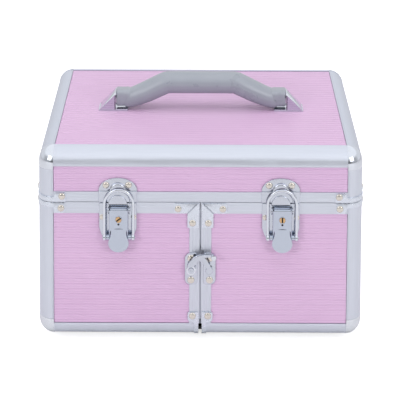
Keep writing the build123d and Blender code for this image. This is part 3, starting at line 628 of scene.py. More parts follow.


# top panel: deeper grooves and stronger painted groove shade
Part().add(*ridged(map_top, -CX, CX, -CY, CY, REC, REC + PT, depth=0.42, weak=0.1, shade_gain=2.0)).make("lid_top_skin", M_PINK, "lid", ["lid_top_panel"], "ridged_panel", angle=60)
zp0 = Z_LB + 2.0
pw = Part()
pw.add(*ridged(map_front, -CX, CX, zp0 + 7.4, ZT - 0.7, REC, REC + PT))
pw.add(*ridged(map_back, -CX, CX, zp0 + 7.4, ZT, REC, REC + PT))
pw.add(*ridged(map_left, -CY, CY, zp0 + 7.4, ZT, REC, REC + PT))
pw.add(*ridged(map_right, -CY, CY, zp0 + 7.4, ZT, REC, REC + PT))
for mp_, A in ((map_front, CX), (map_back, CX), (map_left, CY), (map_right, CY)):
    c = [mp_(a, b, d) for d in (REC, REC + PT) for b in (zp0, zp0 + 7.5) for a in (-A, A)]
    pw.add(c, [(0, 1, 3, 2), (4, 6, 7, 5), (0, 4, 5, 1), (2, 3, 7, 6), (0, 2, 6, 4), (1, 5, 7, 3)])
pw.make("lid_wall_skin", M_PINK, "lid", ["lid_wall_panels"], "ridged_panel", angle=60)
Part().add(*ridged(map_back, -CX, CX, ZB, Z_DT - 2.0, REC, REC + PT)).make("back_skin", M_PINK, "body", ["back_panel"], "ridged_panel", angle=60)
pd = Part()
pd.add(*ridged(map_front, -CX, -3.0, ZB, Z_DT - 2.0, REC, REC + PT))
pd.add(*ridged(map_left, -CY, 77.0, ZB, Z_DT - 2.0, REC, REC + PT))
pd.make("door_left_skin", M_PINK, "door_left", ["door_left_panels"], "ridged_panel", angle=60)
pd.mirrored().make("door_right_skin", M_PINK, "door_right", ["door_right_panels"], "ridged_panel", angle=60)


# ------------------------------------------------------------------ rails
def rail_section(cham_u=True, cham_v=True):
    """hollow quarter-round: outer arc with a scribed line by each edge, inner arc, slot between"""
    oa = [(0, -0.3 if cham_v else 0), (1.2, 0), (4.6, 0), (5.3, -0.16), (6.0, 0), (12, 0)]
    oa += [(12 + 66 * k / 18, 0) for k in range(1, 18)] + [(78, 0), (84.0, 0), (84.7, -0.16), (85.4, 0), (88.8, 0), (90, -0.3 if cham_u else 0)]
    pts, idx = [], {}

    def P(key, r, a):
        if key not in idx:
            idx[key] = len(pts)
            pts.append((r * math.cos(math.radians(a)), r * math.sin(math.radians(a))))
        return idx[key]

    faces = []
    for i in range(len(oa) - 1):
        (a, da), (b, db) = oa[i], oa[i + 1]
        O1, O2 = P(("o", i), R + da, a), P(("o", i + 1), R + db, b)
        I1, I2 = P(("i", i), RIN, a), P(("i", i + 1), RIN, b)
        ina, inb = 12 <= a <= 78, 12 <= b <= 78
        if ina and inb:
            S1, S2 = P(("s", i), R - 1.6, a), P(("s", i + 1), R - 1.6, b)
            T1, T2 = P(("t", i), RIN + 1.3, a), P(("t", i + 1), RIN + 1.3, b)
            faces += [(S1, O1, O2, S2), (I1, T1, T2, I2)]
        elif inb:
            S2, T2 = P(("s", i + 1), R - 1.6, b), P(("t", i + 1), RIN + 1.3, b)
            faces.append((I1, O1, O2, S2, T2, I2))
        elif ina:
            S1, T1 = P(("s", i), R - 1.6, a), P(("t", i), RIN + 1.3, a)
            faces.append((I1, T1, S1, O1, O2, I2))
        else:
            faces.append((I1, O1, O2, I2))
    return pts, faces


RIN = 9.5
FL, FT = 6.0, 1.2


def rail(part, mapper, t0, t1, lip_u=0.0, lip_v=0.0, flange_u=True, flange_v=True, flat_u=0.0, cut_u=(0, 0), cut_v=(0, 0)):
    pts, faces = rail_section(not lip_u, not (lip_v or flat_u))
    part.add(*extrude2d(pts, faces, (t0, t1), mapper))

    def bx(u0, u1, v0, v1, a, b):
        q = [mapper(u, v, t) for t in (a, b) for v in (v0, v1) for u in (u0, u1)]
        part.add(q, [(0, 1, 3, 2), (4, 6, 7, 5), (0, 4, 5, 1), (2, 3, 7, 6), (0, 2, 6, 4), (1, 5, 7, 3)])

    if lip_u:
        bx(-lip_u, 0.05, R - REC, R - 0.01, t0, t1)
    if lip_v:
        bx(R - REC, R - 0.01, -lip_v, 0.05, t0, t1)
    if flat_u:
        bx(RIN, R - 0.01, -flat_u, 0.05, t0, t1)
    if flange_u:
        bx(-FL, 0.05, RIN + 0.02, RIN + FT, t0 + cut_u[0], t1 - cut_u[1])
    if flange_v:
        bx(RIN + 0.02, RIN + FT, -FL, 0.05, t0 + cut_v[0], t1 - cut_v[1])


def m_post(sx, sy): return lambda u, v, t: (sx * (CX + u), sy * (CY + v), t)
def m_rx(sy, sz, z): return lambda u, v, t: (t, sy * (CY + u), z + sz * v)
def m_ry(sx, sz, z): return lambda u, v, t: (sx * (CX + u), t, z + sz * v)


def channel(part, mapper, t0, t1, H, grooves=(), leg=None):
    """flat U rail: d outward face at 0, h from the web up; scribed lines at the given heights"""
    o = [(0.22, 0.0), (0.0, 0.22)]
    for g in grooves:
        o += [(0.0, g - 0.28), (0.14, g - 0.08), (0.14, g + 0.08), (0.0, g + 0.28)]
    o += [(0.0, H - 0.22), (0.22, H), (REC, H), (REC, 2.0), (REC + PT, 2.0)]
    if leg is None:
        o += [(REC + PT, H), (REC + PT + 1.0, H), (REC + PT + 1.0, 0.0)]
    else:
        o += [(REC + PT, 0.0)]
    part.add(*extrude2d(o, [tuple(range(len(o)))], (t0, t1), mapper))
    if leg is not None:
        q = [mapper(d, h, t) for t in leg for h in (0.0, H) for d in (REC + PT + 0.01, REC + PT + 1.0)]
        part.add(q, [(0, 1, 3, 2), (4, 6, 7, 5), (0, 4, 5, 1), (2, 3, 7, 6), (0, 2, 6, 4), (1, 5, 7, 3)])


LR, DR = 9.6, 10.6
# lid
p = Part()
rail(p, m_rx(-1, 1, ZT), -CX, CX, lip_v=0.7)
rail(p, m_rx(1, 1, ZT), -CX, CX)
p.make("lid_rails_long", M_ALU_X, "lid", ["lid_top_rails"], "satin_aluminium", angle=30)
p = Part()
rail(p, m_ry(-1, 1, ZT), -CY, CY, cut_u=(FL, FL))
rail(p, m_ry(1, 1, ZT), -CY, CY, cut_u=(FL, FL))
p.make("lid_rails_short", M_ALU_Y, "lid", [], "satin_aluminium", angle=30)
p = Part()
for sx in (-1, 1):
    for sy in (-1, 1):
        rail(p, m_post(sx, sy), Z_LB, ZT - 4.0, cut_u=(9.8, 2.2), cut_v=(9.8, 2.2))
p.make("lid_posts", M_ALU_Z, "lid", ["lid_corner_posts"], "satin_aluminium", angle=30)
p = Part()
channel(p, lambda d, h, t: (t, YF + d, Z_LB + h), -CX, CX, LR, (3.2, 6.4))
channel(p, lambda d, h, t: (t, YB - d, Z_LB + h), -CX, CX, LR, (3.2, 6.4))
p.make("lid_seam_front_back", M_ALU_X, "lid", ["lid_seam_rails"], "satin_aluminium", angle=30)
p = Part()
channel(p, lambda d, h, t: (-XS + d, t, Z_LB + h), -CY, CY, LR, (3.2, 6.4))
channel(p, lambda d, h, t: (XS - d, t, Z_LB + h), -CY, CY, LR, (3.2, 6.4))
p.make("lid_seam_sides", M_ALU_Y, "lid", [], "satin_aluminium", angle=30)

# doors, drawn left
HY = 80.0
dl_post = Part()
rail(dl_post, m_post(-1, -1), ZB + 4.0, Z_DT, cut_u=(2.2, 10.8), cut_v=(2.2, 10.8))
dl_bx = Part()
rail(dl_bx, m_rx(-1, -1, ZB), -CX, -1.5, flange_u=False)
dl_by = Part()
rail(dl_by, m_ry(-1, -1, ZB), -CY, HY - 1.0, flange_u=False)
dl_ex = Part()
channel(dl_ex, lambda d, h, t: (t, YF + d, Z_DT - h), -CX, -0.55, DR, (3.5, 7.1))
dl_ey = Part()
channel(dl_ey, lambda d, h, t: (-XS + d, t, Z_DT - h), -CY, HY - 1.0, DR, (3.5, 7.1))
zs0, zs1 = ZB, Z_DT - DR
dl_st = Part()
channel(dl_st, lambda d, h, t: (-0.55 - h, YF + d, t), zs0, zs1, 9.65, (3.4, 6.5), leg=(zs0 + 6.1, zs1))
channel(dl_st, lambda d, h, t: (-XS + d, HY - 1.0 - h, t), zs0, zs1, 10.0, (3.3, 6.7), leg=(zs0 + 6.1, zs1))
for side, body in (("left", "door_left"), ("right", "door_right")):
    q = (lambda P_: P_) if side == "left" else (lambda P_: P_.mirrored())
    q(dl_post).make(body + "_post", M_ALU_Z, body, [body + "_corner_rail"], "satin_aluminium", angle=30)
    q(dl_bx).make(body + "_rail_bottom_front", M_ALU_X, body, [body + "_bottom_rails"], "satin_aluminium", angle=30)
    q(dl_by).make(body + "_rail_bottom_side", M_ALU_Y, body, [], "satin_aluminium", angle=30)
    q(dl_ex).make(body + "_rail_top_front", M_ALU_X, body, [body + "_edge_rails"], "satin_aluminium", angle=30)
    q(dl_ey).make(body + "_rail_top_side", M_ALU_Y, body, [], "satin_aluminium", angle=30)
    q(dl_st).make(body + "_stiles", M_ALU_Z, body, [], "satin_aluminium", angle=30)
# closing lip behind the gap between the doors
p = Part()
lip_o = [(-3.4, -105.15), (2.6, -105.15), (2.6, -104.5), (2.2, -104.3), (-3.4, -104.3)]
p.add(*extrude2d(lip_o, [tuple(range(5))], (ZB + 2.0, Z_DT - 1.0), lambda a, b, t: (a, b, t)))
p.make("door_left_closing_lip", M_ALU_Z, "door_left", [], "satin_aluminium", angle=30)
# fixed back
p = Part()
for sx in (-1, 1):
    rail(p, m_post(sx, 1), ZB + 4.0, Z_DT, flange_v=False, flat_u=CY - HY - 1.0, cut_u=(2.2, 10.8))
p.make("rear_posts", M_ALU_Z, "body", ["rear_corner_rails"], "satin_aluminium", angle=30)
p = Part()
rail(p, m_rx(1, -1, ZB), -CX, CX, lip_v=1.1)
p.make("back_rail_bottom", M_ALU_X, "body", ["back_bottom_rails"], "satin_aluminium", angle=30)
p = Part()
for sx in (-1, 1):
    rail(p, m_ry(sx, -1, ZB), HY + 1.0, CY, flange_u=False, flange_v=False)
p.make("back_rail_returns", M_ALU_Y, "body", [], "satin_aluminium", angle=30)
p = Part()
channel(p, lambda d, h, t: (t, YB - d, Z_DT - h), -CX, CX, DR, (3.5, 7.1))
p.make("back_rail_top", M_ALU_X, "body", ["back_top_rail"], "satin_aluminium", angle=30)


# ------------------------------------------------------------------ ball corners
def ball(part, sx, sy, sz, z, ro=14.75, ri=12.4, skirt=4.0, n=18):
    """eighth of a sphere with a rolled rim and a short skirt down the post"""
    rows = []
    for i in range(n + 1):
        th = math.pi / 2 * i / n
        rows.append((ro * math.sin(th), ro * math.cos(th)))
    rows += [(ro, -skirt * 0.5), (ro, -skirt + 0.35), (ro - 0.1, -skirt + 0.1), (ro - 0.35, -skirt)]
    m = 18
    v, f = [], []

    def pt(r, h, a):
        x, y = r * math.cos(a), r * math.sin(a)
        return (sx * (CX + x), sy * (CY + y), z + sz * h)

    for r, h in rows:
        for j in range(m + 1):
            v.append(pt(r, h, math.pi / 2 * j / m))
    nr = len(rows)
    inner = [(ri * math.sin(math.pi / 2 * i / n), ri * math.cos(math.pi / 2 * i / n)) for i in range(n + 1)]
    inner += [(ri, -skirt * 0.5), (ri, -skirt + 0.35), (ri, -skirt + 0.1), (ri, -skirt)]
    for r, h in inner:
        for j in range(m + 1):
            v.append(pt(r, h, math.pi / 2 * j / m))
    w = m + 1
    o = nr * w
    for i in range(nr - 1):
        for j in range(m):
            a, b, c, d = i * w + j, i * w + j + 1, (i + 1) * w + j + 1, (i + 1) * w + j
            f.append((a, b, c, d))
            f.append((o + d, o + c, o + b, o + a))
        for j in (0, m):
            f.append((i * w + j, (i + 1) * w + j, o + (i + 1) * w + j, o + i * w + j))
    for j in range(m):
        f.append(((nr - 1) * w + j, (nr - 1) * w + j + 1, o + (nr - 1) * w + j + 1, o + (nr - 1) * w + j))
    part.add(v, f)


p = Part()
for sx in (-1, 1):
    for sy in (-1, 1):
        ball(p, sx, sy, 1, ZT)
p.make("lid_balls", M_CHROME, "lid", ["lid_ball_corners"], "chrome_fittings", angle=40)
p = Part()
ball(p, -1, -1, -1, ZB)
p.make("door_left_ball", M_BALL_SATIN, "door_left", ["door_left_ball_corner"], "chrome_fittings", angle=40)
p.mirrored().make("door_right_ball", M_BALL_SATIN, "door_right", ["door_right_ball_corner"], "chrome_fittings", angle=40)
p = Part()
ball(p, -1, 1, -1, ZB)
ball(p, 1, 1, -1, ZB)
p.make("rear_balls", M_BALL_SATIN, "body", ["rear_ball_corners"], "chrome_fittings", angle=40)


# ------------------------------------------------------------------ straps round the seam corners
def sstep(a, b, x):
    t = max(0.0, min(1.0, (x - a) / (b - a)))
    return t * t * (3 - 2 * t)


def wrap_strap(part, up, x_end, y_end, H, HB, zs, t=0.8):
    """pressed strap for the front left corner: tab, narrow band round the post, tab"""
    L1, L2 = CX + x_end, CY + y_end        # x_end, y_end negative: lengths of the straight parts
    arcl = (R + t / 2) * math.pi / 2
    tot = L1 + arcl + L2
    sg = 1 if up else -1

    def place(s, out):
        r = R + out
        if s <= L1:
            return (x_end - s, YF - out)
        if s >= L1 + arcl:
            q = s - L1 - arcl
            return (-XS - out, -CY + q)
        a = (s - L1) / arcl * math.pi / 2
        return (-CX - r * math.sin(a), -CY - r * math.cos(a))

    def top(s):
        q, L = (s, L1) if s < tot / 2 else (tot - s, L2)
        r = 2.0
        h = H
        if q < r:
            h = H - r + math.sqrt(max(0.0, r * r - (r - q) ** 2))
        k = sstep(L - 2.6, L + 0.4, q)
        return min(h, H * (1 - k) + HB * k)

    def bot(s):
        q = min(s, tot - s)
        r = 0.8
        return 0.0 if q >= r else r - math.sqrt(max(0.0, r * r - (r - q) ** 2))

    ss = [0.0, 0.15, 0.4, 0.8, 1.3, 2.0, 4.0, 6.5]
    k = L1 - 2.8
    while k < L1 + 0.6:
        ss.append(k)
        k += 0.4
    ss += [L1 + 0.6 + (arcl - 1.2) * i / 16 for i in range(17)]
    k = L1 + arcl - 0.4
    while k < L1 + arcl + 2.9:
        ss.append(k)
        k += 0.4
    ss += [tot - q for q in (6.5, 4.0, 2.0, 1.3, 0.8, 0.4, 0.15, 0.0)]
    ss = sorted(set(round(q, 4) for q in ss))
    cols = ((0.0, 0.0), (0.0, t - 0.3), (0.08, t - 0.1), (0.28, t), (-0.28, t), (-0.08, t - 0.1), (0.0, t - 0.3), (0.0, 0.0))
    rows = []
    for s in ss:
        b, h = bot(s), top(s)
        row = []
        for i, (dz, out) in enumerate(cols):
            zz = (b + dz) if i < 4 else (h + dz)
            x, y = place(s, out)
            row.append((x, y, zs + sg * zz))
        rows.append(row)
    v = [q for r_ in rows for q in r_]
    m = len(cols)
    f = []
    for i in range(len(rows) - 1):
        for j in range(m):
            k2 = (j + 1) % m
            f.append((i * m + j, i * m + k2, (i + 1) * m + k2, (i + 1) * m + j))
    f.append(tuple(range(m)))
    f.append(tuple(reversed(range((len(rows) - 1) * m, len(rows) * m))))
    part.add(v, f)


p = Part()
s0 = Part()
wrap_strap(s0, True, -124.0, -84.0, 9.2, 4.8, Z_LB)
for q in (s0, s0.mirrored(0), s0.mirrored(1), s0.mirrored(0).mirrored(1)):
    p.join(q)
p.make("lid_straps", M_STEEL, "lid", ["lid_corner_straps"], "bright_steel_fittings", angle=35)

# door fittings: mitred corner bracket, foot bracket and strap
br = Part()
wrap_strap(br, False, -125.0, -85.0, 10.2, 4.8, Z_DT)
t = 0.9
ho = round_poly([(-24.4, 125.6), (-12.35, 125.6), (-2.75, 135.2), (-24.4, 135.2)], [1.6, 0.2, 0.1, 1.6])
br.add(*pressed(ho, YF, YF - t, "F", 0.22))
ve = round_poly([(-12.0, 112.0), (-1.3, 112.0), (-1.3, 135.2), (-2.3, 135.2), (-12.0, 125.25)], [0.8, 0.5, 0.2, 0.1, 0.2])
br.add(*pressed(ve, YF, YF - t, "F", 0.22))


def foot_bracket(part):
    """plate on the stile that narrows to a tail wrapped round the bottom rail"""
    path = []
    for z in (31.0, 30.8, 30.4, 29.9, 29.2, 27.0, 24.0, 22.4, 21.6, 20.8, 20.2):
        path.append((YF, z, -1, 0))
    for i in range(17):
        a = math.pi / 2 * i / 16
        path.append((-CY - R * math.cos(a), ZB - R * math.sin(a), -math.cos(a), -math.sin(a)))
    rows = []
    for k, (y, z, ny, nz) in enumerate(path):
        xr = -1.5
        if z > 29.2:
            q = 31.0 - z
            c = 1.6 - math.sqrt(max(0.0, 1.6 ** 2 - (1.6 - min(q, 1.6)) ** 2))
            xl, xr = -11.6 + c, -1.5 - c * 0.5
        else:
            xl = -11.6 + 5.9 * sstep(0, 2.6, 23.0 - z)
        row = []
        for x, out in ((xl, 0), (xl, t - 0.25), (xl + 0.08, t - 0.07), (xl + 0.25, t), (xr - 0.25, t), (xr - 0.08, t - 0.07), (xr, t - 0.25), (xr, 0)):
            row.append((x, y + ny * out, z + nz * out))
        rows.append(row)
    m = 8
    v = [q for r_ in rows for q in r_]
    f = []
    for i in range(len(rows) - 1):
        for j in range(m):
            k2 = (j + 1) % m
            f.append((i * m + j, i * m + k2, (i + 1) * m + k2, (i + 1) * m + j))
    f.append(tuple(range(m)))
    f.append(tuple(reversed(range((len(rows) - 1) * m, len(rows) * m))))
    part.add(v, f)


foot_bracket(br)
br.make("door_left_flat_fittings", M_STEEL, "door_left", ["door_left_brackets"], "bright_steel_fittings", angle=35)
br.mirrored().make("door_right_flat_fittings", M_STEEL, "door_right", ["door_right_brackets"], "bright_steel_fittings", angle=35)


# ------------------------------------------------------------------ rivets
def rivets(name, body, spots, repl, material=None, slot="rivet_nickel"):
    p = Part()
    for x, y, z, d, r, h in spots:
        p.add(*rivet(x, y, z, d, r, h))
    return p


Fd, Bd = (0, -1, 0), (0, 1, 0)
lid_spots, dl_spots, dr_spots, body_spots = [], [], [], []
for sx in (-1, 1):
    lid_spots += [
        (sx * 127.6, YF - 0.8, 141.6, Fd, 3.2, 1.4), (sx * (XS + 0.8), -87.6, 141.6, (sx, 0, 0), 3.2, 1.4),
        (sx * 127.6, YB + 0.8, 141.6, Bd, 3.2, 1.4), (sx * (XS + 0.8), 87.6, 141.6, (sx, 0, 0), 3.2, 1.4),
    ]
    for dx in (-10.3, 10.3):
        lid_spots.append((sx * LX + dx - 1.6, YF - 0.6, 152.5, Fd, 3.2, 1.6))
    for dx in (-13, 0, 13):
        lid_spots.append((sx * 85.0 + dx, YB + 1.25, SEAM + 11.5, Bd, 2.4, 1.0))
        body_spots.append((sx * 85.0 + dx, YB + 1.25, SEAM - 11.5, Bd, 2.4, 1.0))
step = (124.4 - 26.0) / 4
for i in range(4):
    for sx, lst in ((-1, dl_spots), (1, dr_spots)):
        lst.append((sx * (XS + 1.0), HY - 8.6, 26.0 + (i + 0.5) * step, (sx, 0, 0), 2.0, 0.8))
        body_spots.append((sx * (XS + 1.0), HY + 8.6, 26.0 + (i + 0.5) * step, (sx, 0, 0), 2.0, 0.8))
for sx, lst in ((-1, dl_spots), (1, dr_spots)):
    lst += [
        (sx * 20.6, YF - 0.9, 130.1, Fd, 3.2, 1.4), (sx * 7.3, YF - 0.9, 116.6, Fd, 3.2, 1.4),
        (sx * 7.1, YF - 0.9, 27.2, Fd, 3.2, 1.4), (sx * 128.4, YF - 0.8, 130.4, Fd, 3.2, 1.4),
        (sx * (XS + 0.8), -88.4, 130.4, (sx, 0, 0), 3.2, 1.4),
        (sx * LX - 15.4, YF - 1.2, 122.4, Fd, 2.6, 0.9), (sx * LX + 13.6, YF - 1.2, 122.4, Fd, 2.6, 0.9),
        (sx * 8.6, YF - 1.2, 83.0, Fd, 3.3, 1.2), (sx * 8.6, YF - 1.2, 62.2, Fd, 3.3, 1.2),
    ]
p = rivets("", "", lid_spots, [])
# mirror clips: bent tabs over the glass edge
for sx in (-1, 1):
    for sy in (-1, 1):
        x, y = sx * 60.0, sy * 58.0
        prof = [(0.2, 178.1), (6.5, 178.1), (6.5, 177.4), (1.5, 177.4), (1.1, 177.0), (1.1, 175.0), (0.8, 174.6), (-3.0, 174.6), (-3.0, 175.3), (0.2, 175.4)]
        p.add(*extrude2d(prof, [tuple(range(len(prof)))], (x - 4, x + 4), lambda a, b, t, y=y, sy=sy: (t, y + sy * a, b)))
p.make("lid_rivets", M_NICKEL, "lid", ["lid_fasteners"], "rivet_nickel", angle=50)
rivets("", "", dl_spots, []).make("door_left_rivets", M_NICKEL, "door_left", ["door_left_fasteners"], "rivet_nickel", angle=50)
rivets("", "", dr_spots, []).make("door_right_rivets", M_NICKEL, "door_right", ["door_right_fasteners"], "rivet_nickel", angle=50)
p = rivets("", "", body_spots, [])
for sx in (-1, 1):
    for sy in (-1, 1):
        x, y = sx * 96.0, sy * 56.0
        # pan screw head in the foot, with a cross recess
        p.add(*lathe([(1.6, 0), (3.0, 0.3), (3.0, 1.1), (2.6, 1.5)], (x, y, 2.9), (0, 0, -1), 24))
        for a in (0, 90):
            c, s_ = math.cos(math.radians(a)), math.sin(math.radians(a))
            v, f = boxp(-1.7, 1.7, -0.3, 0.3, -0.05, 0.12)
            p.add([(x + q[0] * c - q[1] * s_, y + q[0] * s_ + q[1] * c, 1.4 - q[2]) for q in v], f)
p.make("body_rivets", M_NICKEL, "body", ["body_fasteners"], "rivet_nickel", angle=50)


# ------------------------------------------------------------------ latches
def arch_outline(w, z0, z1, r, crown, n=14):
    """plate outline: straight sides, round shoulders and a crowned top"""
    out = [(-w, z0), (w, z0)]
    for k in range(n + 1):
        a = math.pi / 2 * k / n
        x, z = w - r + r * math.cos(a), z1 - r + r * math.sin(a)
        out.append((x, z - crown * (x / w) ** 2))
    for k in range(1, 8):
        x = (w - r) * (1 - 2 * k / 8)
        out.append((x, z1 - crown * (x / w) ** 2))
    for k in range(n + 1):
        a = math.pi / 2 * (1 - k / n)
        x, z = -(w - r + r * math.cos(a)), z1 - r + r * math.sin(a)
        out.append((x, z - crown * (x / w) ** 2))
    return out


def dx_outline(o, cx): return [(x + cx, z) for x, z in o]


kp = Part()
for cx in (-LX - 1.1, LX - 1.1):
    zb = Z_LB + 0.1
    # upper half of the catch plate lies on the panel, the lower half on the flat rail
    up = [(-17.7, 146.6), (17.7, 146.6)] + [(17.7 * math.cos(math.pi * k / 40), 147.6 + 11.6 * math.sin(math.pi * k / 40)) for k in range(41)]
    kp.add(*pressed(dx_outline(up, cx), YF + 0.3, YF - 0.6, "F", 0.35))
    boss = [(-7.6, 147.0), (7.6, 147.0)] + [(7.6 * math.cos(math.pi * k / 24), 147.6 + 7.4 * math.sin(math.pi * k / 24)) for k in range(25)]
    kp.add(*pressed(dx_outline(boss, cx), YF - 0.4, YF - 3.0, "F", 1.5))
    lo = round_poly([(cx - 17.7, zb), (cx + 17.7, zb), (cx + 17.7, 146.9), (cx - 17.7, 146.9)], [0.8, 0.8, 0.5, 0.5], 4)
    kp.add(*pressed(lo, YF, YF - 1.35, "F", 0.5))
    # raised bridge and the lip inside the bail
    br_o = [(cx - 11.4, zb + 0.2), (cx + 11.4, zb + 0.2)] + [(cx + 11.4 * math.cos(math.pi * k / 36), 136.6 + 11.4 * math.sin(math.pi * k / 36)) for k in range(37)]
    kp.add(*pressed(br_o, YF - 1.0, YF - 2.5, "F", 0.8))
    lip = [(cx - 8.5, 135.0), (cx + 8.5, 135.0), (cx + 8.7, 135.2)] + [(cx + 8.7 * math.cos(math.pi * k / 36), 135.25 + 8.7 * math.sin(math.pi * k / 36)) for k in range(37)] + [(cx - 8.7, 135.2)]
    kp.add(*pressed(lip, YF - 2.1, YF - 3.6, "F", 0.5))
kp.make("keepers", M_CHROME_FLAT, "lid", ["latch_keepers"], "chrome_fittings", angle=32)


def base_part(cx):
    p = Part()
    q = cx - 1.0
    o = round_poly([(q - 13.6, 100.8), (q + 13.6, 100.8), (q + 17.3, 112.0), (q + 17.3, Z_DT - 0.1), (q - 17.3, Z_DT - 0.1), (q - 17.3, 112.0)],
                   [9.0, 9.0, 7.0, 1.6, 1.6, 7.0], 8)
    p.add(*pressed(o, YF, YF - 1.2, "F", 0.5))
    LY, LZ = -115.5, 130.8
    for sx in (-1, 1):
        x0, x1 = cx + sx * 9.1, cx + sx * 10.1
        # upright ear with a round head, rooted in the plate by a flare
        pr = [(YF - 1.1, LZ - 6.0), (YF - 1.9, LZ - 5.2), (LY + 1.2, LZ - 4.0), (LY - 1.4, LZ - 2.2)]
        pr += [(LY + 2.6 * math.cos(a), LZ + 2.6 * math.sin(a)) for a in [math.radians(200 - 14 * k) for k in range(14)]]
        pr += [(YF - 1.9, LZ + 3.4), (YF - 1.1, LZ + 4.4)]
        p.add(*extrude2d(pr, [tuple(range(len(pr)))], (min(x0, x1), max(x0, x1)), lambda a, b, t: (t, a, b)))
        p.add(*lathe([(1.4, 0), (1.4, 0.2), (1.25, 0.42), (0.7, 0.55), (0, 0.6)], (x1, LY, LZ), (sx, 0, 0), 20))
    p.add(*lathe([(1.38, 0), (1.38, 20.2)], (cx - 10.1, LY, LZ), (1, 0, 0), 20))
    return p


for side, cx in (("left", -LX), ("right", LX)):
    base_part(cx).make("latch_base_" + side, M_CHROME_FLAT, "door_" + side, ["door_%s_latch_base" % side], "chrome_fittings", angle=32, bevel=0.12, seg=2)


def strip_sheet(rows, cols, thick):
    """rows of (y, z, ny, nz, half width, crown): a curved sheet across x with its thickness behind"""
    v, f = [], []
    m = len(cols)
    for y, z, ny, nz, w, cr in rows:
        for c in cols:
            k = cr * (1 - c * c)
            v.append((c * w, y + ny * k, z + nz * k))
    o = len(v)
    for y, z, ny, nz, w, cr in rows:
        for c in cols:
            k = cr * (1 - c * c) - thick
            v.append((c * w, y + ny * k, z + nz * k))
    n = len(rows)
    for i in range(n - 1):
        for j in range(m - 1):
            a, b, c, d = i * m + j, i * m + j + 1, (i + 1) * m + j + 1, (i + 1) * m + j
            f += [(a, b, c, d), (o + d, o + c, o + b, o + a)]
        for j in (0, m - 1):
            f.append((i * m + j, (i + 1) * m + j, o + (i + 1) * m + j, o + i * m + j))
    for i in (0, n - 1):
        for j in range(m - 1):
            f.append((i * m + j, i * m + j + 1, o + i * m + j + 1, o + i * m + j))
    return v, f


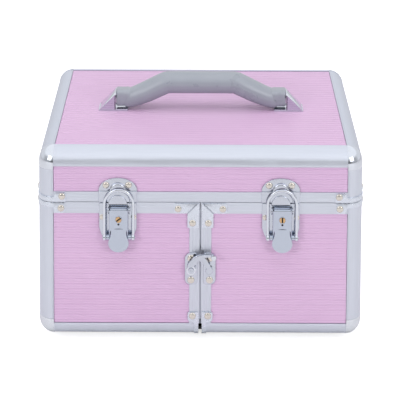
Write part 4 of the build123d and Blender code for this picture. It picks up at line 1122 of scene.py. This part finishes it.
def lever_part():
    """cover plate with side flanges, hinge barrel and a thumb tab bent out and round at its end; centred on x = 0"""
    p = Part()
    LY, LZ = -115.5, 130.8
    w, yf = 8.8, -119.3
    # cover: front face, rolled sides, flanges; the lower edge of the front is an arch
    sec = [(-w, -112.95), (-w, yf + 1.5)]
    sec += [(-w + 1.5 - 1.5 * math.cos(a), yf + 1.5 - 1.5 * math.sin(a)) for a in [math.pi / 2 * k / 6 for k in range(1, 7)]]
    nfront = 12
    sec += [(-w + 1.5 + (2 * w - 3.0) * k / nfront, yf) for k in range(1, nfront)]
    sec += [(w - 1.5 + 1.5 * math.sin(a), yf + 1.5 - 1.5 * math.cos(a)) for a in [math.pi / 2 * k / 6 for k in range(0, 7)]]
    sec += [(w, -112.95)]
    t = 1.15

    def zlow(x, y):
        if y < yf + 1.6:          # front: arch
            return 112.5 + 2.6 * math.sqrt(max(0.0, 1 - (x / 7.6) ** 2)) if abs(x) < 7.6 else 112.5 - 8.0 * (abs(x) - 7.6) / 1.2
        return 102.5 + 4.0 * sstep(-115.0, -112.9, y) if y > -115.0 else 102.5 + (yf + 1.6 < y) * 0.0

    m = len(sec)
    inner = inset(sec + [(w - t, -112.95), (-w + t, -112.95)], 0)[:0]
    inn = []
    for i, (x, y) in enumerate(sec):
        if abs(x) >= w - 1e-6:
            inn.append((x - math.copysign(t, x), y))
        else:
            cxr = math.copysign(w - 1.5, x) if abs(x) > w - 1.5 + 1e-6 else x
            d = Vector((x - cxr, y - (yf + 1.5)))
            d.normalize()
            inn.append((x - d.x * t, y - d.y * t))
    zs = [0.0, 0.12, 0.3, 0.6, 1.0]
    ztop = 132.1
    v, f = [], []
    for fr in zs:
        for x, y in sec:
            zl = zlow(x, y)
            v.append((x, y, zl + (ztop - zl) * fr))
    o = len(v)
    for fr in zs:
        for (x, y), (xi, yi) in zip(sec, inn):
            zl = zlow(x, y)
            v.append((xi, yi, zl + (ztop - zl) * fr))
    for i in range(len(zs) - 1):
        for j in range(m - 1):
            a, b, c, d = i * m + j, i * m + j + 1, (i + 1) * m + j + 1, (i + 1) * m + j
            f += [(a, b, c, d), (o + d, o + c, o + b, o + a)]
        for j in (0, m - 1):
            f.append((i * m + j, (i + 1) * m + j, o + (i + 1) * m + j, o + i * m + j))
    for i in (0, len(zs) - 1):
        for j in range(m - 1):
            f.append((i * m + j, i * m + j + 1, o + i * m + j + 1, o + i * m + j))
    p.add(v, f)
    # top edge turned back towards the pin
    ed = [(-119.3, 132.05), (-119.15, 132.6), (-118.8, 133.0), (-118.2, 133.25), (-115.6, 133.9), (-115.6, 133.0), (-117.9, 132.35), (-118.12, 132.05)]
    ne = len(ed)
    p.add([(x, y, z) for x in (-7.4, 7.4) for y, z in ed],
          [tuple(range(ne)), tuple(range(2 * ne - 1, ne - 1, -1))] + [(i, ne + i, ne + (i + 1) % ne, (i + 1) % ne) for i in range(ne)])
    # barrel rolled round the pin
    prof = [(1.5, 0.0), (2.2, 0.0), (2.4, 0.12), (2.5, 0.4), (2.5, 14.6), (2.4, 14.88), (2.2, 15.0), (1.5, 15.0)]
    p.add(*lathe(prof, (-7.5, LY, LZ - 0.4), (1, 0, 0), 40, loop=True))
    # thumb tab: starts behind the arch, flares and bends outward, round lower end
    path = [(-118.15, 114.1), (-118.2, 112.5), (-118.35, 110.0), (-118.7, 106.5), (-119.1, 102.8), (-119.5, 99.2), (-119.85, 96.2), (-120.1, 94.2), (-120.25, 93.1)]
    pp = smooth_path([(0, y, z) for y, z in path], 4)
    rows = []
    zc, rr = 101.0, 9.35
    for i, (_, y, z) in enumerate(pp):
        a, b = pp[max(0, i - 1)], pp[min(len(pp) - 1, i + 1)]
        ty, tz = b[1] - a[1], b[2] - a[2]
        L = math.hypot(ty, tz)
        ny, nz = tz / L, -ty / L
        if ny > 0:
            ny, nz = -ny, -nz
        if z > 110.5:
            hw = 6.95
        elif z > zc:
            hw = 6.95 + (rr - 6.95) * (1 - sstep(zc, 110.5, z)) ** 1.25
        else:
            q = min(1.0, (zc - z) / (zc - 93.0))
            hw = rr * math.sqrt(max(0.0, 1 - q * q))
        rows.append((y, z, ny, nz, max(hw, 1.2), 0.35 * sstep(112, 104, z) if False else 0.3))
    cols = [-1, -0.985, -0.95, -0.88, -0.75, -0.55, -0.3, 0, 0.3, 0.55, 0.75, 0.88, 0.95, 0.985, 1]
    p.add(*strip_sheet(rows, cols, 1.15))
    # cheeks beside the tab: narrow tongues that leave a slit
    # bosses and pins for the bail
    for sx in (-1, 1):
        p.add(*lathe([(2.4, 0), (2.4, 2.9), (2.2, 3.15), (1.3, 3.15), (1.3, 6.3), (1.1, 6.6), (0, 6.65)], (sx * 8.4, -115.0, 105.0), (sx, 0, 0), 24))
    # rim round the lock; the small hole under it is a black disc of painted shade, made separately
    p.add(*lathe([(2.8, 0), (3.35, 0), (3.35, 0.25), (3.2, 0.4), (2.95, 0.4), (2.8, 0.25)], (0, yf + 0.05, 123.7), (0, -1, 0), 32, loop=True))
    return p


def painted_shade_part():
    p = Part()
    # painted shade: a black strip behind the arch where the thumb tab starts
    v, f = boxp(-6.6, 6.6, -117.8, -117.5, 112.6, 115.6)
    p.add(v, f)
    # painted shade: a black disc for the small hole under the lock
    return p.add(*lathe([(0.95, 0.0), (0.95, 0.1), (0.8, 0.16), (0, 0.1)], (0, -119.3, 119.1), (0, -1, 0), 20))


def bail_part():
    """rounded hoop with two legs that end in flattened eyes; centred on x = 0"""
    p = Part()
    ro, wl = 14.5, 2.6
    rm, zc = ro - wl / 2, 150.8 - ro
    path = []
    for z in (106.5, 108, 111, 116, 122, 128, 133):
        path.append((-rm, -115.0, z))
    for k in range(33):
        a = math.pi - math.pi * k / 32
        path.append((rm * math.cos(a), -115.0, zc + rm * math.sin(a)))
    for z in (133, 128, 122, 116, 111, 108, 106.5):
        path.append((rm, -115.0, z))
    # domed band: flat back, crowned front
    a_, b_ = wl / 2, 1.0
    sec = [(-a_ + 0.3, b_), (-a_, b_ - 0.3), (-a_, -b_ * 0.15)]
    for k in range(1, 12):
        q = math.pi * k / 12
        sec.append((-a_ * math.cos(q), -b_ * 0.15 - (b_ * 0.95) * math.sin(q) ** 0.8))
    sec += [(a_, -b_ * 0.15), (a_, b_ - 0.3), (a_ - 0.3, b_)]
    p.add(*sweep(path, sec, True, up=(0, 1, 0)))
    for sx in (-1, 1):
        x0 = sx * (ro - wl)
        h = wl
        prof = [(1.38, 0.0), (2.7, 0.0), (3.0, 0.3), (3.0, h - 0.3), (2.7, h), (1.38, h)]
        p.add(*lathe(prof, (x0, -115.0, 105.0), (sx, 0, 0), 32, loop=True))
    return p


def key_part(slot_deg):
    """turned lock barrel: two half discs over a deeper floor, so the slot is a real groove"""
    p = Part()
    r, y0, y1 = 2.66, -116.0, -120.0
    p.add(*lathe([(r, 0.0), (r, 3.2), (r - 0.05, 3.25), (0, 3.25)], (0, -115.9, 123.7), (0, -1, 0), 36))
    half = []
    g = 0.62
    a0 = math.asin(g / r)
    pts = [(r * math.cos(a0 + (math.pi - 2 * a0) * k / 20), r * math.sin(a0 + (math.pi - 2 * a0) * k / 20)) for k in range(21)]
    c, s_ = math.cos(math.radians(slot_deg)), math.sin(math.radians(slot_deg))
    for sg in (1, -1):
        o = [(x * c - y * sg * s_, x * s_ + y * sg * c) for x, y in pts]
        if sg < 0:
            o = list(reversed(o))
        o = [(x, 123.7 + z) for x, z in o]
        p.add(*pressed(o, -118.9, -120.0, "F", 0.25))
    return p


def key_slot_floor(slot_deg):
    c, s_ = math.cos(math.radians(slot_deg)), math.sin(math.radians(slot_deg))
    o = [(-2.5, -0.66), (2.5, -0.66), (2.5, 0.66), (-2.5, 0.66)]
    o = [(x * c - y * s_, 123.7 + x * s_ + y * c) for x, y in o]
    # painted shade: black floor at the bottom of the key slot
    v, f = prism(o, -119.2, -119.5, "F")
    return Part().add(v, f)


# near-black, non-metallic brass for the key slot: painted shade
M_BRASS_SLOT_SHADE = metal("brass_slot_painted_shade", (0.045, 0.02, 0.008), 0.7, 0.05, (1, 1, 1), 600, 0.1, 0.00003, 0.1, metallic=0.0)
for side, cx, ang in (("left", -LX, 38.0), ("right", LX, 90.0)):
    lever_part().moved(cx).make("lever_plate_" + side, M_LEVER, "lever_" + side, ["latch_%s_lever" % side], "chrome_fittings", angle=32)
    painted_shade_part().moved(cx).make("lever_hole_" + side, M_SHADE_BLACK, "lever_" + side, [], "chrome_fittings", angle=40)
    bail_part().moved(cx).make("bail_hoop_" + side, M_CHROME, "bail_" + side, ["latch_%s_bail" % side], "chrome_fittings", angle=40)
    key_part(ang).moved(cx).make("key_barrel_" + side, M_BRASS, "key_" + side, ["latch_%s_key_cylinder" % side], "key_brass", angle=40)
    key_slot_floor(ang).moved(cx).make("key_slot_" + side, M_SHADE_BLACK, "key_" + side, [], "key_brass", angle=40)


# ------------------------------------------------------------------ hook latch
def hook_plate(sx):
    p = Part()
    o = round_poly([(sx * 2.7, 57.5), (sx * 14.2, 57.5), (sx * 14.2, 87.9), (sx * 2.7, 87.9)], [3.2, 5.4, 5.4, 3.2], 8)
    p.add(*pressed(o, YF, YF - 1.2, "F", 0.45))
    return p


HX, HZ = -8.4, 73.6
p = hook_plate(-1)
p.add(*lathe([(3.2, 0), (3.2, 0.5), (2.4, 0.8), (2.2, 3.2), (1.5, 3.3), (1.5, 5.4), (2.6, 5.4), (2.8, 5.6), (2.6, 5.95), (2.0, 6.1), (1.1, 6.15), (0.8, 5.85), (0, 5.85)],
             (HX, YF - 1.1, HZ), (0, -1, 0), 36))
p.make("hook_plate_left", M_CHROME_FLAT, "door_left", ["hook_pivot_plate"], "chrome_fittings", angle=32)
p = hook_plate(1)
p.add(*lathe([(4.4, 0), (4.4, 0.35), (3.2, 0.75), (2.2, 1.2), (2.2, 1.7), (3.3, 1.75), (3.6, 2.0), (3.55, 2.35), (3.2, 2.75), (2.4, 2.95), (1.5, 2.8), (0, 2.8)],
             (8.3, YF - 1.1, 72.2), (0, -1, 0), 40))
p.make("hook_plate_right", M_CHROME_FLAT, "door_right", ["hook_catch_plate"], "chrome_fittings", angle=32)

hk = Part()
ym = YF - 5.35


def osec(a, b, n=20, e=3.2):
    out = []
    for k in range(n):
        c, s_ = math.cos(2 * math.pi * k / n), math.sin(2 * math.pi * k / n)
        out.append((a * math.copysign(abs(c) ** (2 / e), c), b * math.copysign(abs(s_) ** (2 / e), s_)))
    return out


def flat_arm(part, pts, widths):
    """stamped bar seen from the front: outline from a centre line (x, z) and half widths, soft edges"""
    c = smooth_path([(x, 0, z) for x, z in pts], 6)
    L_, R_ = [], []
    n = len(c)
    for i, (x, _, z) in enumerate(c):
        a, b = c[max(0, i - 1)], c[min(n - 1, i + 1)]
        tx, tz = b[0] - a[0], b[2] - a[2]
        d = math.hypot(tx, tz)
        s_ = i / (n - 1) * (len(widths) - 1)
        k = min(int(s_), len(widths) - 2)
        w = widths[k] + (widths[k + 1] - widths[k]) * (s_ - k)
        L_.append((x - tz / d * w, z + tx / d * w))
        R_.append((x + tz / d * w, z - tx / d * w))
    v, f = [], []
    cols = [(-1.0, 0.85), (-1.0, -0.35), (-0.97, -0.62), (-0.86, -0.80), (-0.6, -0.85), (0.0, -0.87), (0.6, -0.85), (0.86, -0.80), (0.97, -0.62), (1.0, -0.35), (1.0, 0.85)]
    m = len(cols)
    for (lx, lz), (rx, rz) in zip(L_, R_):
        for t, dy in cols:
            k = (t + 1) / 2
            v.append((lx + (rx - lx) * k, ym + dy, lz + (rz - lz) * k))
    for i in range(n - 1):
        for j in range(m):
            q = (j + 1) % m
            f.append((i * m + j, i * m + q, (i + 1) * m + q, (i + 1) * m + j))
    f.append(tuple(range(m)))
    f.append(tuple(reversed(range((n - 1) * m, n * m))))
    part.add(v, f)


flat_arm(hk, [(-8.9, 75.5), (-8.0, 79.2), (-5.4, 82.9), (-1.8, 85.2), (1.6, 85.9)], [3.4, 3.0, 2.6, 2.7, 2.9])
flat_arm(hk, [(-0.6, 86.3), (2.2, 84.2), (4.7, 80.8), (6.8, 77.6), (7.9, 75.0)], [2.2, 2.8, 2.5, 2.3, 1.6])
flat_arm(hk, [(0.4, 86.7), (4.0, 87.2), (8.0, 87.4), (12.2, 87.4)], [1.6, 1.3, 1.25, 1.25])
hk.make("hook_arm", M_CHROME_FLAT, "hook", ["swing_hook"], "chrome_fittings", angle=40)
hk = Part()
hk.add(*lathe([(1.56, 0.0), (4.3, 0.0), (4.7, 0.35), (4.7, 1.4), (4.4, 1.72), (1.56, 1.76)], (HX, YF - 4.47, HZ), (0, -1, 0), 40, loop=True))
hk.add(*lathe([(1.6, 0.0), (2.0, 0.2), (2.1, 1.6), (1.9, 2.2), (2.3, 3.0), (2.55, 3.4), (2.6, 4.5), (2.35, 5.0), (1.6, 5.25), (0, 5.3)], (12.4, YF - 4.5, 87.4), (0, -1, 0), 28))
hk.make("hook_knob", M_CHROME, "hook", [], "chrome_fittings", angle=40)


# ------------------------------------------------------------------ handle
def end_cap_part():
    """right end cap: foot plate, upright side walls and a thin sloping plate over them"""
    p = Part()
    z0, hw, TX, HC = LIDP, 8.5, 101.3, 17.0
    fo = round_poly([(72.0, -hw), (100.6, -hw), (100.6, hw), (72.0, hw)], [1.0, 1.5, 1.5, 1.0], 5)
    p.add(*pressed(fo, z0, z0 + 1.5, "T", 0.35))
    # raised border round the open end of the foot
    v, f = boxp(72.4, 83.6, -hw + 0.3, -hw + 1.2, z0 + 1.4, z0 + 1.9)
    p.add(v, f)
    v, f = boxp(72.4, 83.6, hw - 1.2, hw - 0.3, z0 + 1.4, z0 + 1.9)
    p.add(v, f)
    # side walls and the end wall by the grip
    tri = [(84.0, z0 + 1.2), (TX - 2.0, z0 + 1.2), (TX - 0.7, z0 + 0.5), (85.2, z0 + HC - 0.9), (84.0, z0 + HC - 0.9)]
    for y0_, y1_ in ((-hw + 0.1, -hw + 1.2), (hw - 1.2, hw - 0.1)):
        p.add(*extrude2d(tri, [tuple(range(5))], (y0_, y1_), lambda a, b, t: (a, t, b)))
    ew = round_poly([(-hw + 0.1, z0 + 1.2), (hw - 0.1, z0 + 1.2), (hw - 0.1, z0 + HC), (-hw + 0.1, z0 + HC)], [0.2, 0.2, 0.8, 0.8], 4)
    p.add(*extrude2d(ew, [tuple(range(len(ew)))], (83.8, 85.0), lambda a, b, t: (t, a, b)))
    # sloping plate: 1 mm thick, rounded rim, its lower end sharp on the lid
    L = math.hypot(TX - 84.6, HC)
    ux, uz = (TX - 84.6) / L, -HC / L
    nx, nz = -uz, ux
    outl = round_poly([(-0.6, -hw - 0.15), (L, -hw - 0.15), (L, hw + 0.15), (-0.6, hw + 0.15)], [0.8, 1.4, 1.4, 0.8], 6)

    def onplate(a, b, t):
        return (84.3 + ux * a + nx * t, b, z0 + HC + 0.3 + uz * a + nz * t)

    rings = [(outl, -0.95), (outl, -0.35)]
    for k in (1, 2, 3):
        a = k / 3 * math.pi / 2
        rings.append((inset(outl, 0.35 * (1 - math.cos(a))), -0.35 + 0.35 * math.sin(a)))
    n = len(outl)
    v, f = [], []
    for o_, t_ in rings:
        v += [onplate(a, b, t_) for a, b in o_]
    f.append(tuple(range(n)))
    for r_ in range(len(rings) - 1):
        for i in range(n):
            j = (i + 1) % n
            f.append((r_ * n + i, r_ * n + j, (r_ + 1) * n + j, (r_ + 1) * n + i))
    f.append(tuple(reversed(range((len(rings) - 1) * n, len(rings) * n))))
    p.add(v, f)
    return p.moved(0, YH, 0)


YH = -6.0
ec = end_cap_part()
p = Part().join(ec).join(ec.mirrored())
p.make("end_caps", M_CHROME, "lid", ["handle_end_caps"], "chrome_fittings", angle=32)


def grip_part():
    """moulded grip: straight middle, arms falling to square-shouldered ends, a parting ridge front and back"""
    za, zm = LIDP + 11.8, LIDP + 26.3
    G = 10.55
    half = [(0, zm, G, G, 0), (22, zm, G, G, 0), (32.5, zm - 0.05, G, G, 0), (34.6, zm - 0.45, G, G, 0.0), (38, zm - 2.0, G, G, 0.0),
            (46, zm - 5.9, G, 10.4, 0), (54, zm - 9.8, 10.4, 10.2, 0), (62, zm - 13.2, 9.9, 9.8, 0), (68, zm - 15.2, 9.2, 9.3, 0.1), (71.3, zm - 15.7, 8.4, 8.95, 0.3),
            (72.2, za, 8.2, 8.85, 0.5), (72.9, za, 7.9, 8.7, 0.6), (73.6, za, 7.6, 8.4, 0.6), (78, za, 7.6, 8.4, 0.6), (82.2, za, 7.6, 8.4, 0.6), (82.9, za, 7.3, 8.1, 0.6), (83.2, za, 6.9, 7.7, 0.6)]
    st = [(-x, z, ry, rz, q) for x, z, ry, rz, q in reversed(half[1:])] + half
    n = 56
    v, f = [], []
    for i, (x, z, ry, rz, q) in enumerate(st):
        a, b = st[max(0, i - 1)], st[min(len(st) - 1, i + 1)]
        tx, tz = b[0] - a[0], b[1] - a[1]
        if q >= 0.6:
            tx, tz = 1.0, 0.0
        L = math.hypot(tx, tz)
        ux, uz = -tz / L, tx / L        # section's up direction
        for k in range(n):
            th = 2 * math.pi * k / n
            c, s_ = math.cos(th), math.sin(th)
            e = 2.0 + 2.6 * q           # rounder or squarer section
            cc = math.copysign(abs(c) ** (2 / e), c)
            ss = math.copysign(abs(s_) ** (2 / e), s_)
            dy, du = ry * cc, rz * ss
            # parting ridge at mid height, front and back
            if q < 0.5 and abs(s_) < 0.06:
                dy += math.copysign(0.16, c)
            v.append((x + ux * du, dy, z + uz * du))
    m = len(st)
    for i in range(m - 1):
        for k in range(n):
            j = (k + 1) % n
            f.append((i * n + k, i * n + j, (i + 1) * n + j, (i + 1) * n + k))
    f.append(tuple(range(n)))
    f.append(tuple(reversed(range((m - 1) * n, m * n))))
    return Part().add(v, f).moved(0, YH, 0)


gp = grip_part()
g_ob = gp.make("grip", M_GRIP, "handle", ["handle_grip"], "grip_plastic", angle=50)
hp = Part().add(*lathe([(1.5, 0), (1.5, 9.0), (1.2, 9.4), (0, 9.4)], (75.8, YH, LIDP + 11.8), (1, 0, 0), 20))
p = Part().join(hp).join(hp.mirrored())
p.make("handle_axles", M_STEEL, "lid", ["handle_pins"], "chrome_fittings", angle=40)
# ------------------------------------------------------------------ padded linings
def wob(u, v, seed):
    """slow creases of cloth over thin foam"""
    rnd = random.Random(seed)
    h = 0.0
    for k in range(9):
        a = rnd.uniform(0, math.pi)
        wl = rnd.uniform(13.0, 46.0)
        h += math.sin((u * math.cos(a) + v * math.sin(a)) * 2 * math.pi / wl + rnd.uniform(0, 6.28) + 1.3 * math.sin((v * math.cos(a) - u * math.sin(a)) / rnd.uniform(18, 40))) / (1 + 0.35 * k)
    return h / 3.2


def padded(u0, u1, v0, v1, t, seed, step=1.9, wr=0.22, puff=0.0):
    """cloth-covered foam panel: rolled edge, a stitched line inside it, puckers along the stitches"""
    def axis(a, b):
        n = max(8, int((b - a) / step))
        return [a + (b - a) * k / n for k in range(n + 1)]
    ends = [0.0, 0.25, 0.6, 1.1]
    us = [u0 + e for e in ends] + axis(u0 + 1.9, u1 - 1.9) + [u1 - e for e in reversed(ends)]
    vs = [v0 + e for e in ends] + axis(v0 + 1.9, v1 - 1.9) + [v1 - e for e in reversed(ends)]
    top = []
    for v in vs:
        for u in us:
            du, dv = min(u - u0, u1 - u), min(v - v0, v1 - v)
            d = min(du, dv)
            edge = math.sqrt(max(0.0, 1 - (1 - min(d, 2.0) / 2.0) ** 2))
            along = v if du < dv else u
            groove = math.exp(-((d - 6.0) / 1.1) ** 2) * (0.30 + 0.06 * math.sin(along * 2 * math.pi / 3.4))
            pucker = math.exp(-((d - 6.0) / 4.0) ** 2) * 0.10 * math.sin(along * 2 * math.pi / 6.8 + 2.2 * math.sin(along / 17.0))
            mid = sstep(6.0, 22.0, d)
            k = edge * (0.66 - groove + pucker + 0.12 * sstep(7.0, 12.0, d) + wr * mid * wob(u, v, seed) + puff * mid)
            top.append((u, v, max(0.0, min(1.0, k)) * t))
    m, n = len(us), len(vs)
    o = len(top)
    verts = top + [(u, v, 0.0) for v in vs for u in us]
    f = []
    for i in range(n - 1):
        for j in range(m - 1):
            a, b, c, d = i * m + j, i * m + j + 1, (i + 1) * m + j + 1, (i + 1) * m + j
            f += [(a, b, c, d), (o + d, o + c, o + b, o + a)]
    return verts, f


def mapped(vf, fn):
    v, f = vf
    return [fn(*q) for q in v], f


Part().add(*mapped(padded(-127.5, 127.5, -87.5, 87.5, 2.7, 11, wr=0.15), lambda u, v, h: (u, v, 8.35 + h))).make(
    "floor_pad", M_FABRIC, "body", ["floor_lining"], "lining_fabric", angle=180)
Part().add(*mapped(padded(-127.5, 127.5, 27.3, 122.8, 1.9, 12, wr=0.18), lambda u, v, h: (u, 106.25 - h, v))).make(
    "back_pad", M_FABRIC, "body", ["back_lining"], "lining_fabric", angle=180)
Part().add(*mapped(padded(-127.5, 127.5, -87.5, 87.5, 2.85, 13, wr=0.20), lambda u, v, h: (u, v, 181.2 - h))).make(
    "lid_pad", M_FABRIC, "lid", ["lid_lining"], "lining_fabric", angle=180)
for side, sx in (("left", -1), ("right", 1)):
    p = Part()
    p.add(*mapped(padded(12.0, 127.6, 27.3, 122.8, 1.15, 14 + sx, wr=0.2), lambda u, v, h, sx=sx: (sx * u, -106.25 + h, v)))
    p.add(*mapped(padded(-87.6, 66.6, 27.3, 122.8, 1.15, 24 + sx, wr=0.2), lambda u, v, h, sx=sx: (sx * (146.25 - h), u, v)))
    p.make("door_%s_pads" % side, M_FABRIC, "door_" + side, ["door_%s_lining" % side], "lining_fabric", angle=180)


# ------------------------------------------------------------------ mirror with a ground bevel
def mirror_part():
    o = round_poly([(-92.0, -58.0), (92.0, -58.0), (92.0, 58.0), (-92.0, 58.0)], [4.0] * 4, 6)
    q = round_poly([(-84.5, -50.5), (84.5, -50.5), (84.5, 50.5), (-84.5, 50.5)], [0.6] * 4, 6)
    rings = [(o, 178.0), (o, 176.6), (inset(o, 0.25), 176.35), (q, 175.55)]
    v, f = [], []
    n = len(o)
    for pts, z in rings:
        v += [(x, y, z) for x, y in pts]
    f.append(tuple(range(n)))
    for r_ in range(len(rings) - 1):
        for i in range(n):
            j = (i + 1) % n
            f.append((r_ * n + i, r_ * n + j, (r_ + 1) * n + j, (r_ + 1) * n + i))
    f.append(tuple(reversed(range(3 * n, 4 * n))))
    return Part().add(v, f)


mirror_part().make("mirror_glass", M_MIRROR, "lid", ["lid_mirror"], "mirror_glass", angle=2)
# ------------------------------------------------------------------ floor, light, camera
def floor():
    me = bpy.data.meshes.new("floor")
    s, n = 9.0, 24
    vs = [(-s + 2 * s * i / n, -s + 2 * s * j / n, 0.0) for j in range(n + 1) for i in range(n + 1)]
    fs = [(j * (n + 1) + i, j * (n + 1) + i + 1, (j + 1) * (n + 1) + i + 1, (j + 1) * (n + 1) + i) for j in range(n) for i in range(n)]
    me.from_pydata(vs, [], fs)
    m, nt, bs = mat("floor_white")
    t = noise_tex(nt, 4, (1, 1, 1), 4.0)
    r = ramp(nt, t.outputs["Fac"], 0.3, (0.90, 0.90, 0.905, 1), 0.7, (0.93, 0.93, 0.93, 1))
    nt.links.new(r.outputs[0], bs.inputs["Base Color"])
    bs.inputs["Roughness"].default_value = 0.6
    bs.inputs["Emission Color"].default_value = (1, 1, 1, 1)
    lp = N(nt, "ShaderNodeLightPath")
    mu = N(nt, "ShaderNodeMath", operation="MULTIPLY")
    nt.links.new(lp.outputs["Is Camera Ray"], mu.inputs[0])
    mu.inputs[1].default_value = 0.65
    nt.links.new(mu.outputs[0], bs.inputs["Emission Strength"])
    me.materials.append(m)
    ob = bpy.data.objects.new("floor", me)
    sc.collection.objects.link(ob)


floor()

world = bpy.data.worlds.new("studio")
sc.world = world
world.use_nodes = True
wn = world.node_tree
bg = wn.nodes["Background"]
tc = N(wn, "ShaderNodeTexCoord")
sep = N(wn, "ShaderNodeSeparateXYZ")
wn.links.new(tc.outputs["Generated"], sep.inputs[0])


def wmath(op, a, b=None):
    n = N(wn, "ShaderNodeMath", operation=op)
    for i, q in enumerate((a, b)):
        if q is None:
            continue
        if isinstance(q, (int, float)):
            n.inputs[i].default_value = q
        else:
            wn.links.new(q, n.inputs[i])
    return n.outputs[0]


# reflections: a dark room straight ahead of the box, pale to the sides, a white sweep behind
xx, yy, zz = sep.outputs[0], sep.outputs[1], sep.outputs[2]
hor = wmath("SQRT", wmath("ADD", wmath("ADD", wmath("MULTIPLY", xx, xx), wmath("MULTIPLY", yy, yy)), 0.0001))
ahead = maprange(wn, wmath("MULTIPLY", wmath("DIVIDE", yy, hor), -1.0), 0.80, 0.95, 0.0, 1.0).outputs[0]
low = maprange(wn, zz, 0.16, 0.34, 1.0, 0.0).outputs[0]
dark = wmath("MULTIPLY", ahead, low)
behind = maprange(wn, yy, -0.35, 0.05, 0.0, 1.0).outputs[0]
high = maprange(wn, zz, 0.40, 0.60, 0.0, 1.0).outputs[0]
lvl = wmath("ADD", wmath("MULTIPLY", behind, 0.36), 0.54)
lvl = wmath("ADD", wmath("MULTIPLY", lvl, wmath("SUBTRACT", 1.0, high)), wmath("MULTIPLY", high, 1.16))
lvl = wmath("ADD", wmath("MULTIPLY", lvl, wmath("SUBTRACT", 1.0, dark)), wmath("MULTIPLY", dark, 0.22))
comb = N(wn, "ShaderNodeCombineColor")
wn.links.new(lvl, comb.inputs[0])
wn.links.new(wmath("MULTIPLY", lvl, 1.01), comb.inputs[1])
wn.links.new(wmath("MULTIPLY", lvl, 1.04), comb.inputs[2])
lp = N(wn, "ShaderNodeLightPath")
mixg = N(wn, "ShaderNodeMix", data_type="RGBA")
wn.links.new(lp.outputs["Is Glossy Ray"], mixg.inputs[0])
mixg.inputs[6].default_value = (0.50, 0.485, 0.505, 1)
wn.links.new(comb.outputs[0], mixg.inputs[7])
mixc = N(wn, "ShaderNodeMix", data_type="RGBA")
wn.links.new(lp.outputs["Is Camera Ray"], mixc.inputs[0])
wn.links.new(mixg.outputs[2], mixc.inputs[6])
mixc.inputs[7].default_value = (1.0, 1.0, 1.0, 1)
wn.links.new(mixc.outputs[2], bg.inputs[0])
bg.inputs[1].default_value = 1.0


def area(name, loc, target, w, h, power, col=(1, 1, 1)):
    ld = bpy.data.lights.new(name, "AREA")
    ld.shape = "RECTANGLE"
    ld.size, ld.size_y = w, h
    ld.energy = power
    ld.color = col
    lo = bpy.data.objects.new(name, ld)
    sc.collection.objects.link(lo)
    lo.location = loc
    lo.rotation_euler = (Vector(target) - Vector(loc)).to_track_quat("-Z", "Y").to_euler()
    return lo


for nm_, sx in (("left", -1), ("right", 1)):
    # a small key for the shading and its crisp shadow, a wide panel for the reflections
    key_l = area("key_" + nm_, (sx * 1.37, -1.95, 1.02), (0, -0.1, 0.10), 0.42, 0.42, 10.5)
    key_l.visible_glossy = False
    pan = area("panel_" + nm_, (sx * 1.50, -2.0, 1.30), (0, -0.1, 0.10), 1.3, 1.3, 11)
    pan.visible_diffuse = False
tl = area("top", (0, -0.3, 2.4), (0, 0, 0.1), 2.6, 2.2, 33)
tl.visible_glossy = False

cam_d = bpy.data.cameras.new("cam")
cam = bpy.data.objects.new("cam", cam_d)
sc.collection.objects.link(cam)
sc.camera = cam
cam_d.sensor_width = 36.0
cam_d.lens = 1433.06 / 400 * 36.0
cam_d.clip_start, cam_d.clip_end = 0.05, 60.0
TILT, ROLL = 0.0901, 0.00426
rot = Matrix.Rotation(math.pi / 2 - TILT, 3, "X") @ Matrix.Rotation(ROLL, 3, "Z")
cam.rotation_mode = "XYZ"
cam.rotation_euler = rot.to_euler("XYZ")
cam.location = (0.000718, -1.380 + YO * MM, 0.73221)
# the rising-front shift belongs to the main view only; the other views turn the camera by quaternion
for path, amount in (("shift_x", -0.0088), ("shift_y", -1.2968)):
    fc = cam_d.driver_add(path)
    d = fc.driver
    d.type = "SUM"
    v = d.variables.new()
    v.name = "m"
    v.type = "SINGLE_PROP"
    v.targets[0].id_type = "OBJECT"
    v.targets[0].id = cam
    v.targets[0].data_path = "rotation_mode"
    while fc.modifiers:
        fc.modifiers.remove(fc.modifiers[0])
    while len(fc.keyframe_points):
        fc.keyframe_points.remove(fc.keyframe_points[0])
    gen = fc.modifiers.new("GENERATOR")
    gen.mode = "POLYNOMIAL"
    gen.poly_order = 1
    gen.coefficients = (0.0, amount)

sc.view_settings.view_transform = "Standard"
sc.view_settings.look = "None"
sc.view_settings.exposure = 0.0
sc.view_settings.gamma = 1.0

bpy.context.view_layer.update()
